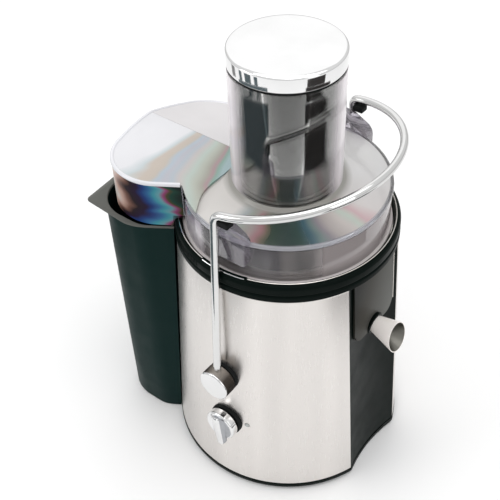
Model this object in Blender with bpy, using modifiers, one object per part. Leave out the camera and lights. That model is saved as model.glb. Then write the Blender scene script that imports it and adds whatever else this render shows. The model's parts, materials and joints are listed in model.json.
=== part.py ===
"""Centrifugal juicer with a clear lid, a swinging bail and a pull-out pulp bin.

The lengths below are in millimetres, measured from the body's centre line and the table top.
The helpers turn them into metres. +X is the spout side, -Y the switch side, +Z is up.
"""

import math

import bmesh
import bpy
import numpy as np
from mathutils import Matrix, Vector

MM = 0.001

# Whole object
AXIS_X = 21.5  # body centre line, so that the object is centred on the origin

# Tapered body
BODY_Z0, BODY_Z1 = 7.8, 231.2  # lower and upper edge of the steel
BODY_R0, BODY_R1 = 104.2, 91.8
STEEL_T = 0.9
PAN_R = 104.6
FRONT_HALF = 36.0  # half width of the black front panel
FRONT_SCOOP = 4.4  # how far the front panel is hollowed
REAR_HALF = 62.0
PANEL_T = 2.5
GAP = 0.35
RING_R = 92.7
RING_Z0, RING_Z1 = 231.6, 248.0

# Lid, chute and pusher
LID_R = 83.6
LID_WALL = 2.2
LID_Z0, LID_Z1 = 242.2, 280.6
CHUTE_R, CHUTE_BORE = 44.2, 42.0
CHUTE_Z0, CHUTE_Z1 = 206.0, 384.3
PUSHER_R = 41.5
TOP_Z = 400.0

# Hood of the lid, over the pulp bin
HOOD_HALF, HOOD_END, HOOD_CORNER = 77.5, -143.0, 42.0
HOOD_Z0, HOOD_Z1 = 240.0, 283.0
HOOD_SLOPE = 0.28  # fall of the far half of its roof
HOOD_BULGE, HOOD_BULGE_HALF = 4.5, 40.0  # how far its end is rounded out, and over which half width
HOOD_STEP_X = -44.0

# Pulp bin
BIN_TOP = 238.2
BIN_WALL = 2.0
LIP_END = -157.0

# Juice bowl and basket
BOWL_R, BOWL_WALL = 77.2, 2.0
BOWL_Z0, BOWL_Z1 = 156.0, 240.6
BASKET_Z0, BASKET_Z1 = 186.0, 256.5

# Juice spout
SPOUT_ROOT = Vector((75.0, 0.0, 168.2))
SPOUT_MOUTH = Vector((111.0, 0.0, 164.3))
SPOUT_R0, SPOUT_R1 = 6.6, 13.0
SPOUT_WALL = 1.0
SPOUT_CUT = math.radians(12.0)  # upward tilt of the mouth's plane

# Badge plate
BADGE_HALF, BADGE_Z0, BADGE_Z1 = 29.0, 163.0, 229.5

# Bail
PIVOT_X, PIVOT_Z = 5.0, 134.0
BAIL_HALF, BAIL_REACH, BAIL_Z, BAIL_RISE = 91.5, 87.0, 305.0, 0.2
BAIL_X = 1.0
ROD_R = 3.3
ROD_Y = 106.0  # rod centre at the pivot
KNOB_R = 14.0
KNOB_Y0, KNOB_Y1 = 99.8, 112.8
KNOB_WASHER_R = 13.8

# Switch and indicator lens
SWITCH_X, SWITCH_Z = 7.0, 79.5
SWITCH_R = 14.6
SWITCH_Y0, SWITCH_Y1 = 102.2, 110.6  # back and face of its disc
GRIP_Y = 112.8
SWITCH_WASHER_R = 15.3
SWITCH_TILT = math.radians(8.0)
LENS_ANGLE, LENS_Z = math.radians(-74.6), 81.0

# Cord gland
GLAND_ANGLE, GLAND_Z = math.radians(125.0), 26.0

# Motor
HOUSING_R, HOUSING_TOP = 78.0, 154.2
CAN_R = 45.5
SHAFT_R = 4.0
SHAFT_CLEAR = 4.3  # bore of everything that rides on the shaft
BEARING_R = 11.1

FINISHES = {  # base colour, metallic, roughness, transmission
    "satin_steel": ((0.70, 0.68, 0.66), 1.0, 0.30, 0.0),
    "bright_steel": ((0.80, 0.78, 0.75), 1.0, 0.15, 0.0),
    "chrome": ((0.90, 0.90, 0.90), 1.0, 0.04, 0.0),
    "black_plastic": ((0.020, 0.026, 0.024), 0.0, 0.38, 0.0),
    "bin_plastic": ((0.030, 0.042, 0.040), 0.0, 0.55, 0.0),
    "gloss_black": ((0.012, 0.012, 0.014), 0.0, 0.06, 0.0),
    "badge": ((0.09, 0.085, 0.08), 0.6, 0.28, 0.0),
    "grey_plastic": ((0.22, 0.22, 0.23), 0.0, 0.5, 0.0),
    "clear": ((0.95, 0.97, 0.98), 0.0, 0.03, 1.0),
    "rubber": ((0.015, 0.015, 0.015), 0.0, 0.8, 0.0),
    "copper": ((0.72, 0.36, 0.20), 1.0, 0.35, 0.0),
    "iron": ((0.30, 0.30, 0.31), 1.0, 0.45, 0.0),
    "lens": ((0.45, 0.47, 0.46), 0.0, 0.2, 0.0),
}

UP = Vector((0, 0, 1))


def clear_scene():
    for obj in list(bpy.data.objects):
        bpy.data.objects.remove(obj, do_unlink=True)


def new_collection(name, helper=False):
    collection = bpy.data.collections.new(name)
    bpy.context.scene.collection.children.link(collection)
    collection.hide_render = helper
    return collection


clear_scene()
PARTS = new_collection("centrifugal_juicer")
CUTTERS = new_collection("juicer_cutters", helper=True)
CENTRE = bpy.data.objects.new("body_centre_line", None)
CENTRE.location = (AXIS_X * MM, 0.0, 0.0)
PARTS.objects.link(CENTRE)


# ---------------------------------------------------------------- helpers


def add_finish(obj, kind):
    colour, metallic, roughness, transmission = FINISHES[kind]
    material = bpy.data.materials.new(obj.name)
    material.use_nodes = True
    shader = material.node_tree.nodes["Principled BSDF"]
    shader.inputs["Base Color"].default_value = (*colour, 1.0)
    shader.inputs["Metallic"].default_value = metallic
    shader.inputs["Roughness"].default_value = roughness
    shader.inputs["Transmission Weight"].default_value = transmission
    obj.data.materials.append(material)


def add_object(name, mesh, kind, origin, turned_to=UP):
    """A part, or a cutter if it has no finish. Its mesh is in metres round its own origin."""
    mesh.shade_smooth()
    mesh.set_sharp_from_angle(angle=math.radians(35))
    obj = bpy.data.objects.new(name, mesh)
    obj.parent = CENTRE
    obj.location = Vector(origin) * MM
    obj.rotation_mode = "QUATERNION"
    obj.rotation_quaternion = UP.rotation_difference(Vector(turned_to))
    if kind:
        PARTS.objects.link(obj)
        add_finish(obj, kind)
    else:
        CUTTERS.objects.link(obj)
        obj.hide_render = True
        obj.display_type = "WIRE"
    return obj


def add_shape(name, shape, kind, origin):
    """An object from a bmesh that was made in millimetres, in the body's own frame."""
    bmesh.ops.translate(shape, verts=shape.verts, vec=-Vector(origin))
    bmesh.ops.scale(shape, verts=shape.verts, vec=(MM, MM, MM))
    bmesh.ops.recalc_face_normals(shape, faces=shape.faces)
    mesh = bpy.data.meshes.new(name)
    shape.to_mesh(mesh)
    shape.free()
    return add_object(name, mesh, kind, origin)


def settled(data, modifier=None, **settings):
    """Mesh of a curve, or of a profile under a modifier, with its seams and caps welded."""
    guide = bpy.data.objects.new(data.name, data)
    bpy.context.scene.collection.objects.link(guide)
    if modifier:
        added = guide.modifiers.new("shape", modifier)
        for key, value in settings.items():
            setattr(added, key, value)
    graph = bpy.context.evaluated_depsgraph_get()
    mesh = bpy.data.meshes.new_from_object(guide.evaluated_get(graph))
    bpy.data.objects.remove(guide)
    shape = bmesh.new()
    shape.from_mesh(mesh)
    bpy.data.meshes.remove(mesh)
    bmesh.ops.remove_doubles(shape, verts=shape.verts, dist=1e-4)
    bmesh.ops.dissolve_degenerate(shape, edges=shape.edges, dist=1e-5)
    return shape


def polyline(name, points, dimensions, cyclic):
    curve = bpy.data.curves.new(name, "CURVE")
    curve.dimensions = dimensions
    spline = curve.splines.new("POLY")
    spline.points.add(len(points) - 1)
    for place, point in zip(spline.points, points):
        place.co = (*point, 1.0) if len(point) == 3 else (*point, 0.0, 1.0)
    spline.use_cyclic_u = cyclic
    return curve


def turned(name, profile, kind=None, seg=32, origin=(0, 0, 0), along=UP):
    """Turned body: a profile of (radius, height) swept round an axis by a Screw modifier."""
    after = profile[1:] + profile[:1]
    if sum(a[0] * b[1] - b[0] * a[1] for a, b in zip(profile, after)) > 0:
        profile = profile[::-1]  # runs down its outer side
    count = len(profile)
    links = [(k, (k + 1) % count) for k in range(count) if profile[k][0] or profile[(k + 1) % count][0]]
    mesh = bpy.data.meshes.new(name)
    mesh.from_pydata([(r, 0, z) for r, z in profile], links, [])
    shape = settled(
        mesh, "SCREW", steps=seg, render_steps=seg, use_normal_calculate=False, use_merge_vertices=True,
        merge_threshold=1e-4,
    )
    bmesh.ops.rotate(shape, verts=shape.verts, matrix=UP.rotation_difference(Vector(along)).to_matrix())
    bmesh.ops.translate(shape, verts=shape.verts, vec=origin)
    return add_shape(name, shape, kind, origin)


def box(name, low, high, kind=None, origin=(0, 0, 0)):
    return boxes(name, [(low, high)], kind, origin)


def boxes(name, corners, kind=None, origin=(0, 0, 0)):
    """One object of one or more boxes, each given by its lowest and highest corner."""
    shape = bmesh.new()
    for low, high in corners:
        low, high = Vector(low), Vector(high)
        place = Matrix.Translation((low + high) / 2) @ Matrix.Diagonal((*(high - low), 1))
        bmesh.ops.create_cube(shape, size=1, matrix=place)
    return add_shape(name, shape, kind, origin)


def cylinder(name, radius, start, along, length, kind=None, seg=24):
    axis = Vector(along).normalized()
    middle = Vector(start) + axis * length / 2
    place = Matrix.Translation(middle) @ UP.rotation_difference(axis).to_matrix().to_4x4()
    shape = bmesh.new()
    bmesh.ops.create_cone(
        shape, cap_ends=True, segments=seg, radius1=radius, radius2=radius, depth=length, matrix=place
    )
    return add_shape(name, shape, kind, start)


def tube(name, inner, outer, z0, z1, kind=None, seg=32):
    return turned(name, [(inner, z0), (outer, z0), (outer, z1), (inner, z1)], kind, seg)


ACROSS = {  # where a plate's own two directions and its thickness go
    "z": ((1, 0, 0), (0, 1, 0), (0, 0, 1)),
    "y": ((1, 0, 0), (0, 0, 1), (0, 1, 0)),
    "x": ((0, 0, 1), (1, 0, 0), (0, 1, 0)),
}


def plate(name, outline, low, high, kind=None, origin=(0, 0, 0), across="z"):
    """Flat outline with a thickness from low to high along z, y or x. It is a filled 2D curve."""
    curve = polyline(name, outline, "2D", cyclic=True)
    curve.fill_mode = "BOTH"
    curve.extrude = (high - low) / 2
    shape = settled(curve)
    bmesh.ops.translate(shape, verts=shape.verts, vec=(0, 0, (low + high) / 2))
    turn = Matrix(ACROSS[across])
    for vert in shape.verts:
        vert.co = turn @ vert.co
    return add_shape(name, shape, kind, origin)


def rod(name, path, radius, kind=None, resolution=4, origin=(0, 0, 0)):
    """Round rod along a path: a bevelled curve with filled caps."""
    curve = polyline(name, path, "3D", cyclic=False)
    curve.bevel_depth = radius
    curve.bevel_resolution = resolution
    curve.use_fill_caps = True
    return add_shape(name, settled(curve), kind, origin)


def loft(name, rings, kind=None, origin=(0, 0, 0)):
    """Closed skin through unlike rings of equally many points, capped at both ends."""
    shape = bmesh.new()
    rows = [[shape.verts.new(p) for p in ring] for ring in rings]
    shape.faces.new(rows[0])
    shape.faces.new(rows[-1])
    for below, above in zip(rows, rows[1:]):
        for k in range(len(below)):
            shape.faces.new((below[k - 1], below[k], above[k], above[k - 1]))
    return add_shape(name, shape, kind, origin)


def fillet(before, corner, after, radius, steps):
    """Points of the arc that rounds a corner."""
    before, corner, after = Vector(before), Vector(corner), Vector(after)
    u, v = (before - corner).normalized(), (after - corner).normalized()
    half = u.angle(v) / 2
    if radius <= 0 or half > 1.569:
        return [tuple(corner)]
    start, stop = corner + u * radius / math.tan(half), corner + v * radius / math.tan(half)
    centre = corner + (u + v).normalized() * radius / math.sin(half)
    a, b = start - centre, stop - centre
    swept = a.angle(b)
    return [
        tuple(centre + (a * math.sin((1 - t) * swept) + b * math.sin(t * swept)) / math.sin(swept))
        for t in np.linspace(0, 1, steps)
    ]


def rounded(corners, radii, steps=6):
    out = []
    for k, corner in enumerate(corners):
        out += fillet(corners[k - 1], corner, corners[(k + 1) % len(corners)], radii[k], steps)
    return out


def mirrored(half):
    """Full outline from its -Y half."""
    return half + [(x, -y) for x, y in reversed(half) if abs(y) > 1e-6]


def boolean(obj, other, operation="DIFFERENCE"):
    modifier = obj.modifiers.new(other.name, "BOOLEAN")
    modifier.operation = operation
    modifier.object = other
    modifier.solver = "EXACT"
    return obj


def cut(obj, *others):
    for other in others:
        boolean(obj, other)
    return obj


def join(obj, *others):
    for other in others:
        boolean(obj, other, "UNION")
    return obj


def body_r(z):
    return BODY_R0 + (BODY_R1 - BODY_R0) * (z - BODY_Z0) / (BODY_Z1 - BODY_Z0)


def front_x(y, z, hollow=FRONT_SCOOP):
    """Outer face of the hollowed front panel."""
    edge = math.sqrt(body_r(z) ** 2 - FRONT_HALF**2)
    return edge - hollow * (1 - (y / FRONT_HALF) ** 2)


def around(radius, degrees):
    """Points on a circle round the centre line."""
    return [(radius * math.cos(math.radians(a)), radius * math.sin(math.radians(a))) for a in degrees]


def level(angle):
    return Vector((math.cos(angle), math.sin(angle), 0))


# ---------------------------------------------------------------- base

FEET = [(s * 62.0, t * 62.0) for s in (-1, 1) for t in (-1, 1)]
SCREWS = around(71.0, (63, 183, 303))

base_pan = turned(
    "base_pan",
    [
        (0, 2), (103.4, 2), (PAN_R, 3), (PAN_R, 7), (104.2, 7.4), (100.6, 7.4), (100.6, 15), (98.4, 15),
        (98.4, 6), (0, 6),
    ],
    "black_plastic",
    seg=48,
)
scoop = [(front_x(y, BODY_Z0) + 0.4, y) for y in np.linspace(-FRONT_HALF, FRONT_HALF, 11)]
cut(
    base_pan,
    plate("pan_scoop", [(130, -FRONT_HALF), *scoop, (130, FRONT_HALF)], -1, 20),
    box("pan_spigot_gap", (60, -38, 7.2), (120, 38, 20)),
    boxes("vent_slots", [((-30, y - 2, 0), (30, y + 2, 9)) for y in (-24, -12, 0, 12, 24)]),
)
for n, (x, y) in enumerate(FEET, 1):
    cut(base_pan, cylinder(f"foot_pocket_{n}", 9.4, (x, y, 0), UP, 4.4, seg=16))
    turned(f"foot_{n}", [(0, 0), (8.2, 0), (9.0, 1.2), (9.0, 4.1), (0, 4.1)], "rubber", 16, (x, y, 0))
for n, (x, y) in enumerate(SCREWS, 1):
    hole = [(0, 0), (3.8, 0), (3.8, 4.6), (2.0, 4.6), (2.0, 12), (0, 12)]
    screw = [(0, 2.4), (3.4, 2.4), (3.4, 4.3), (1.5, 4.3), (1.5, 11), (0, 11)]
    cut(base_pan, turned(f"screw_hole_{n}", hole, None, 10, (x, y, 0)))
    turned(f"base_screw_{n}", screw, "bright_steel", 10, (x, y, 0))

# ---------------------------------------------------------------- motor housing

housing = turned(
    "motor_housing",
    [
        (64, 6.4), (HOUSING_R, 6.4), (HOUSING_R, HOUSING_TOP), (13, HOUSING_TOP), (13, 151.6), (75.4, 151.6),
        (75.4, 9.2), (64, 9.2),
    ],
    "grey_plastic",
    28,
)
for n, (x, y) in enumerate(SCREWS, 1):
    cut(housing, cylinder(f"housing_hole_{n}", 1.9, (x, y, 5), UP, 8, seg=12))

# ---------------------------------------------------------------- body skin


def skin(name, thickness, kind):
    """Whole tapered shell, cut to its share of the circle afterwards."""
    inner0, inner1 = BODY_R0 - thickness, BODY_R1 - thickness
    return turned(
        name, [(BODY_R0, BODY_Z0), (BODY_R1, BODY_Z1), (inner1, BODY_Z1), (inner0, BODY_Z0)], kind, 64
    )


def steel_region(side):
    """Plan of one half of the steel wrap, between the front and rear panels."""
    front, rear = side * (FRONT_HALF + GAP / 2), side * (REAR_HALF + GAP / 2)
    return [(130, front), (0, front), (0, rear), (-130, rear), (-130, side * 130), (130, side * 130)]


steel = {}
for name, side in (("near", -1), ("far", 1)):
    steel[name] = skin(f"steel_wrap_{name}", STEEL_T, "satin_steel")
    boolean(steel[name], plate(f"{name}_region", steel_region(side), 0, 240), "INTERSECT")

rear_panel = skin("rear_panel", PANEL_T, "black_plastic")
rear_half = REAR_HALF - GAP / 2
boolean(rear_panel, box("rear_region", (-130, -rear_half, 0), (-20, rear_half, 240)), "INTERSECT")

half = FRONT_HALF - GAP / 2
columns = np.linspace(-half, half, 11)
panel_rings = []
for z in np.linspace(BODY_Z0, BODY_Z1, 6):
    face = [(front_x(y, z), y, z) for y in columns]
    back = [(x - PANEL_T, y, z) for x, y, z in reversed(face)]
    panel_rings.append(face + back)
front_panel = loft("front_panel", panel_rings, "black_plastic")

# Badge plate: flat across the hollow, flush with the two steel edges, its lower corners rounded
columns = np.linspace(-BADGE_HALF, BADGE_HALF, 9)
badge_rings = []
for z in np.linspace(BADGE_Z0, BADGE_Z1, 3):
    face = [(front_x(y, z, 0.0) + 0.5, y, z) for y in columns]
    back = [(front_x(y, z) + GAP, y, z) for y in columns[::-1]]
    badge_rings.append(face + back)
badge = loft("badge_plate", badge_rings, "badge")
lower, upper = BADGE_Z0 - 1, BADGE_Z1 + 5
outline = rounded(
    [(-BADGE_HALF + 2, lower), (BADGE_HALF - 2, lower), (BADGE_HALF + 1, upper), (-BADGE_HALF - 1, upper)],
    [10, 10, 0, 0],
)
boolean(badge, plate("badge_region", outline, 70, 100, across="x"), "INTERSECT")

# ---------------------------------------------------------------- top ring

top_ring = turned(
    "top_ring",
    [
        (77.6, RING_Z0), (92.3, RING_Z0), (RING_R, 232.1), (RING_R, 236.6), (91.9, 237.2), (91.9, 238.0),
        (92.5, 238.6), (92.5, 245.0), (91.6, 247.0), (89.8, RING_Z1), (87.2, RING_Z1), (87.2, 238.6),
        (77.6, 238.6),
    ],
    "black_plastic",
    seg=48,
)
tab_profile = [(88.0, 246.0), (91.2, 246.0), (91.0, 248.9), (90.2, 249.6), (88.0, 249.6)]
for name, side in (("near", -1), ("far", 1)):
    tab = turned(f"ring_tab_{name}", tab_profile, None, 60)
    sector = [(0.0, 0.0), *around(140, (side * 74, side * 101))]
    boolean(tab, plate(f"tab_sector_{name}", sector, 240, 255), "INTERSECT")
    join(top_ring, tab)

# ---------------------------------------------------------------- juice bowl, seal and spout

BOWL_BORE = BOWL_R - BOWL_WALL
bowl = turned(
    "juice_bowl",
    [
        (BOWL_R, BOWL_Z0), (BOWL_R, 239.0), (86.8, 239.0), (86.8, BOWL_Z1), (BOWL_BORE, BOWL_Z1),
        (BOWL_BORE, 160.0), (72.0, 158.4), (17.0, 160.0), (15.4, 176.0), (13.4, 176.0), (13.4, BOWL_Z0),
    ],
    "bright_steel",
    seg=40,
)
tube("bowl_seal", 81.0, 85.4, 240.9, 241.9, "rubber", 40)

spout_axis = (SPOUT_MOUTH - SPOUT_ROOT).normalized()
spout_length = (SPOUT_MOUTH - SPOUT_ROOT).length
flare = [(SPOUT_R0, 0.0), (SPOUT_R0 + 0.2, 14.0), (SPOUT_R0 + 1.5, 20.0), (SPOUT_R1 + 1.2, spout_length + 6)]
bore = [(r - SPOUT_WALL, h) for r, h in flare]
spout = turned("juice_spout", flare + bore[::-1], "bright_steel", 28, SPOUT_ROOT, spout_axis)
mouth_normal = Vector((math.cos(SPOUT_CUT), 0, math.sin(SPOUT_CUT)))
cut(spout, cylinder("spout_mouth_cut", 40.0, SPOUT_MOUTH, mouth_normal, 30))
cut(bowl, cylinder("bowl_outlet", SPOUT_R0 + 0.4, SPOUT_ROOT - spout_axis * 8, spout_axis, 16))
cut(front_panel, cylinder("panel_outlet", 9.6, SPOUT_ROOT, spout_axis, 20))
cut(badge, cylinder("badge_outlet", 9.6, SPOUT_ROOT, spout_axis, 20))

collar = turned(
    "spout_collar",
    [(7.3, 5.0), (9.2, 5.0), (9.2, 14.4), (11.2, 14.8), (11.2, 15.6), (10.2, 16.4), (7.3, 16.4)],
    "black_plastic",
    24,
    SPOUT_ROOT,
    spout_axis,
)
room = [(r + 0.3, h) for r, h in flare] + [(0, spout_length + 6), (0, 0)]
cut(collar, turned("collar_clearance", room, None, 24, SPOUT_ROOT, spout_axis))

# ---------------------------------------------------------------- lid


def hood_end_x(x, y):
    """Rounds the flat end of the hood outwards."""
    if x > HOOD_END / 2 or abs(y) > HOOD_BULGE_HALF:
        return x
    return x - HOOD_BULGE * (1 - (y / HOOD_BULGE_HALF) ** 2)


def hood_outline(inset):
    side, end = HOOD_HALF - inset, HOOD_END + inset
    near = [(-46.0, -51.0 + inset), (-89.0 + inset * 0.3, -side), (end, -side)]
    shoulder = fillet(near[0], near[1], near[2], 40.0, 6)
    corner = fillet(near[1], near[2], (end, 0), HOOD_CORNER - inset, 9)
    flat_end = [(end, y) for y in np.linspace(corner[-1][1], 0, 5)[1:]]
    outline = mirrored([near[0]] + shoulder + corner + flat_end)
    return [(hood_end_x(x, y), y) for x, y in outline]


def roof_cut(name, drop):
    """Takes away what lies above the sloping far half of the roof."""
    ridge, fall = HOOD_Z1 - drop, 98 * HOOD_SLOPE
    section = [(2, ridge), (100, ridge - fall), (100, ridge + 40), (2, ridge + 40)]
    return plate(name, section, -160, -30, across="x")


ring_clearance = [
    (0, 200), (93.7, 200), (93.7, 250.4), (86.3, 250.4), (86.3, LID_Z0 + 0.4), (0, LID_Z0 + 0.4),
]
hood = plate("hood_outer", hood_outline(0.0), HOOD_Z0, HOOD_Z1)
cut(
    hood,
    roof_cut("hood_roof_cut", 0.0),
    cylinder("hood_lid_clearance", LID_R - 1.0, (0, 0, 200), UP, 79.1, seg=48),
    turned("hood_ring_clearance", ring_clearance, None, 48),
)
step_edge = [(HOOD_STEP_X, 2.0), *around(83.0, np.linspace(-122.2, -178.0, 10)), (-82.9, 2.0)]
roof_step = plate("hood_roof_step", step_edge, 279.4, HOOD_Z1)
hood_hollow = plate("hood_hollow", hood_outline(LID_WALL), 252.6, HOOD_Z1 - LID_WALL)
cut(hood_hollow, roof_cut("hollow_roof_cut", LID_WALL))
hood_drop = plate("hood_drop", hood_outline(LID_WALL + 0.3), 230.0, 253.0)
cut(hood_drop, cylinder("hood_drop_keep", 96.0, (0, 0, 220), UP, 50, seg=48))

LID_BORE = LID_R - LID_WALL
lid = turned(
    "lid",
    [
        (85.8, LID_Z0), (85.8, 244.4), (85.3, 244.9), (LID_R, 245.3), (LID_R, 275.4), (84.3, 276.6),
        (84.6, 278.4), (84.2, 280.0), (82.9, LID_Z1), (80.8, 280.2), (54.0, 281.2), (47.0, 282.4),
        (CHUTE_R, 285.0), (CHUTE_R, 383.8), (43.7, CHUTE_Z1), (CHUTE_BORE, CHUTE_Z1), (CHUTE_BORE, CHUTE_Z0),
        (43.9, CHUTE_Z0), (43.9, 277.6), (54.0, 278.8), (LID_BORE, 278.0), (LID_BORE, LID_Z0),
    ],
    "clear",
    seg=48,
)
ramp = [(-5.0, 262.0), (24.5, 262.0), (24.5, 281.0), (22.5, 287.0), (6.0, 295.4), (-5.0, 296.0)]
join(lid, hood, roof_step)
cut(lid, hood_hollow, hood_drop)
join(lid, plate("lug_near", ramp, -88.2, -79.2, across="y"), plate("lug_far", ramp, 79.2, 88.2, across="y"))

# ---------------------------------------------------------------- pusher

turned(
    "pusher_body",
    [
        (0, 204), (40.5, 204), (PUSHER_R, 205), (PUSHER_R, 386.3), (39.5, 386.3), (39.5, 206.4), (0, 206.4),
    ],
    "gloss_black",
    seg=36,
)
tube("pusher_seal", 41.9, 43.6, 384.7, 386.4, "rubber", 36)
turned(
    "pusher_cap",
    [
        (0, TOP_Z), (38.0, 399.8), (42.2, 399.2), (43.8, 398.2), (44.4, 396.8), (44.4, 387.2), (44.0, 386.8),
        (42.0, 386.8), (42.0, 396.0), (0, 396.0),
    ],
    "chrome",
    seg=48,
)

# ---------------------------------------------------------------- pulp bin

BIN_SIDE = Vector((0.838, 0.546)).normalized()  # run of the side wall towards the body


def bin_outline(shoulder, shoulder_radius, corner, corner_radius, end, front):
    """Plan of the bin: hollow front that hugs the body, two sides and a flat back."""
    b = Vector(shoulder)
    along = -b.dot(BIN_SIDE) - math.sqrt(b.dot(BIN_SIDE) ** 2 - b.length_squared + front**2)
    start = b + BIN_SIDE * along
    near = [tuple(start)]
    near += fillet(start, shoulder, corner, shoulder_radius, 5)
    near += fillet(shoulder, corner, (end, 0), corner_radius, 8)
    near.append((end, 0.0))
    first = math.degrees(math.atan2(start.y, start.x))
    return mirrored(near) + around(front, np.linspace(-first, 360 + first, 15)[1:-1])


def bin_wall(z, inset):
    t = z / BIN_TOP
    side, end, front = 78.0 + 2.7 * t - inset, -149.0 - t + inset, 105.5 - 11.9 * t + inset
    outline = bin_outline((-93.0 + inset * 0.4, -side), 28.0, (end, -side), 35.0 - inset, end, front)
    return [(x, y, z) for x, y in outline]


def bin_lip(z):
    outline = bin_outline((-99.0, -84.6), 34.0, (-152.6, -80.6), 4.0, LIP_END, 93.35)
    return [(x, y, z) for x, y in outline]


loft(
    "pulp_bin",
    [
        bin_wall(0.0, 1.6), bin_wall(2.2, 0.0), bin_wall(236.2, 0.0), bin_lip(236.2), bin_lip(BIN_TOP),
        bin_wall(BIN_TOP, BIN_WALL), bin_wall(3.2, BIN_WALL),
    ],
    "bin_plastic",
)

# ---------------------------------------------------------------- bail


def bail_path():
    lean = (ROD_Y - BAIL_HALF) / (BAIL_Z - PIVOT_Z)
    shift = (PIVOT_X - BAIL_X) / (BAIL_Z - PIVOT_Z)
    foot = Vector((PIVOT_X + shift * 9.0, -ROD_Y - lean * 9.0, PIVOT_Z - 9.0))
    corner = Vector((BAIL_X, -BAIL_HALF, BAIL_Z))
    arc = []
    for a in np.linspace(math.radians(-82), math.radians(82), 27):
        reach = BAIL_REACH * math.cos(a)
        arc.append((BAIL_X + reach, BAIL_HALF * math.sin(a), BAIL_Z + BAIL_RISE * reach))
    near = [tuple(foot), tuple(foot.lerp(corner, 0.5)), *fillet(foot, corner, arc[0], 8.0, 6)]
    far = [(x, -y, z) for x, y, z in reversed(near)]
    return near + arc + far


PIVOT = Vector((PIVOT_X, 0, PIVOT_Z))
path = bail_path()
rod("bail_rod", path, ROD_R, "chrome", origin=PIVOT)
body_profile = [(0, 0), (BODY_R0 + 0.75, 0), (BODY_R1 + 0.35, BODY_Z1), (0, BODY_Z1)]
body_solid = turned("body_clearance", body_profile, None, 64)


def knob_profile():
    return [
        (0, KNOB_Y0), (KNOB_R - 0.8, KNOB_Y0), (KNOB_R, KNOB_Y0 + 0.8), (KNOB_R, KNOB_Y1 - 1.2),
        (KNOB_R - 1.0, KNOB_Y1 - 0.2), (KNOB_R - 2.0, KNOB_Y1), (0, KNOB_Y1),
    ]


for name, side in (("near", -1), ("far", 1)):
    out = Vector((0, side, 0))
    lower_end = [Vector(p) for p in (path[:2] if side < 0 else path[:-3:-1])]
    lower_end[0] += (lower_end[0] - lower_end[1]).normalized() * 0.5
    cut(
        turned(f"pivot_knob_{name}", knob_profile(), "chrome", 28, PIVOT, out),
        rod(f"knob_rod_hole_{name}", lower_end, ROD_R + 0.35),
        cylinder(f"knob_pin_hole_{name}", 3.9, PIVOT + out * 90, out, 11.4, seg=16),
    )
    cylinder(f"pivot_pin_{name}", 3.6, PIVOT + out * 82, out, 19.1, "bright_steel", 16)
    washer_profile = [(4.1, 94.0), (KNOB_WASHER_R, 94.0), (KNOB_WASHER_R, 99.4), (4.1, 99.4)]
    cut(turned(f"pivot_washer_{name}", washer_profile, "rubber", 28, PIVOT, out), body_solid)
    inner, outer = sorted((side * 79, side * 93))
    bracket = box(
        f"pivot_bracket_{name}",
        (PIVOT_X - 11, inner, PIVOT_Z - 12),
        (PIVOT_X + 11, outer, PIVOT_Z + 12),
        "grey_plastic",
    )
    cut(bracket, cylinder(f"pivot_bore_{name}", 3.95, PIVOT + out * 70, out, 26, seg=16))
    cut(steel[name], cylinder(f"pivot_hole_{name}", 5.0, PIVOT + out * 80, out, 30, seg=24))
    corner_run = [p for p in path if p[1] * side > 60 and p[0] < 40 and p[2] > 240]
    pad_side = [(5.0, 297.0), (14.0, 297.0), (14.0, 301.6), (5.0, 300.2)]
    inner, outer = sorted((side * 85.5, side * 93.5))
    cut(
        plate(f"bail_pad_{name}", pad_side, inner, outer, "rubber", PIVOT, across="y"),
        rod(f"pad_rod_seat_{name}", corner_run, ROD_R + 0.12, None, 5),
    )

# ---------------------------------------------------------------- switch and lens

SWITCH = Vector((SWITCH_X, 0, SWITCH_Z))
NEAR = Vector((0, -1, 0))
washer_profile = [(3.6, 96.0), (SWITCH_WASHER_R, 96.0), (SWITCH_WASHER_R, 101.9), (3.6, 101.9)]
switch_washer = turned("switch_washer", washer_profile, "rubber", 28, SWITCH, NEAR)
cut(switch_washer, body_solid)
switch_knob = turned(
    "switch_knob",
    [
        (0, 88.0), (3.1, 88.0), (3.1, SWITCH_Y0), (SWITCH_R - 2.0, SWITCH_Y0),
        (SWITCH_R - 0.8, SWITCH_Y0 + 1.0), (SWITCH_R, SWITCH_Y1 - 1.0), (SWITCH_R - 0.8, SWITCH_Y1 - 0.2),
        (0, SWITCH_Y1),
    ],
    "chrome",
    32,
    SWITCH,
    NEAR,
)
c, s = math.cos(SWITCH_TILT), math.sin(SWITCH_TILT)
grip = [
    (SWITCH_X + u * c - w * s, SWITCH_Z + u * s + w * c)
    for u, w in rounded([(-2.6, -20.5), (2.6, -20.5), (3.4, 13.0), (-3.4, 13.0)], [1.6, 1.6, 2.4, 2.4], 4)
]
join(switch_knob, plate("switch_grip", grip, -GRIP_Y, -SWITCH_Y0 - 2.3, across="y"))
cut(steel["near"], cylinder("switch_hole", 5.0, SWITCH + NEAR * 80, NEAR, 30, seg=24))
switch_body = box(
    "switch_body", (SWITCH_X - 12, -96, SWITCH_Z - 14), (SWITCH_X + 12, -79.5, SWITCH_Z + 14), "grey_plastic"
)
cut(switch_body, cylinder("switch_stem_hole", 3.5, SWITCH + NEAR * 86, NEAR, 20, seg=20))

lens_out, lens_place = level(LENS_ANGLE), Vector((0, 0, LENS_Z))
cut(steel["near"], cylinder("lens_hole", 2.4, lens_place + lens_out * 85, lens_out, 30, seg=20))
lens_profile = [(0, 96), (2.0, 96), (2.0, 100.6), (1.2, 101.0), (0, 101.1)]
turned("indicator_lens", lens_profile, "lens", 20, lens_place, lens_out)

box("safety_switch", (19, -87, 124), (35, -79, 138), "grey_plastic")

# ---------------------------------------------------------------- cord gland

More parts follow.
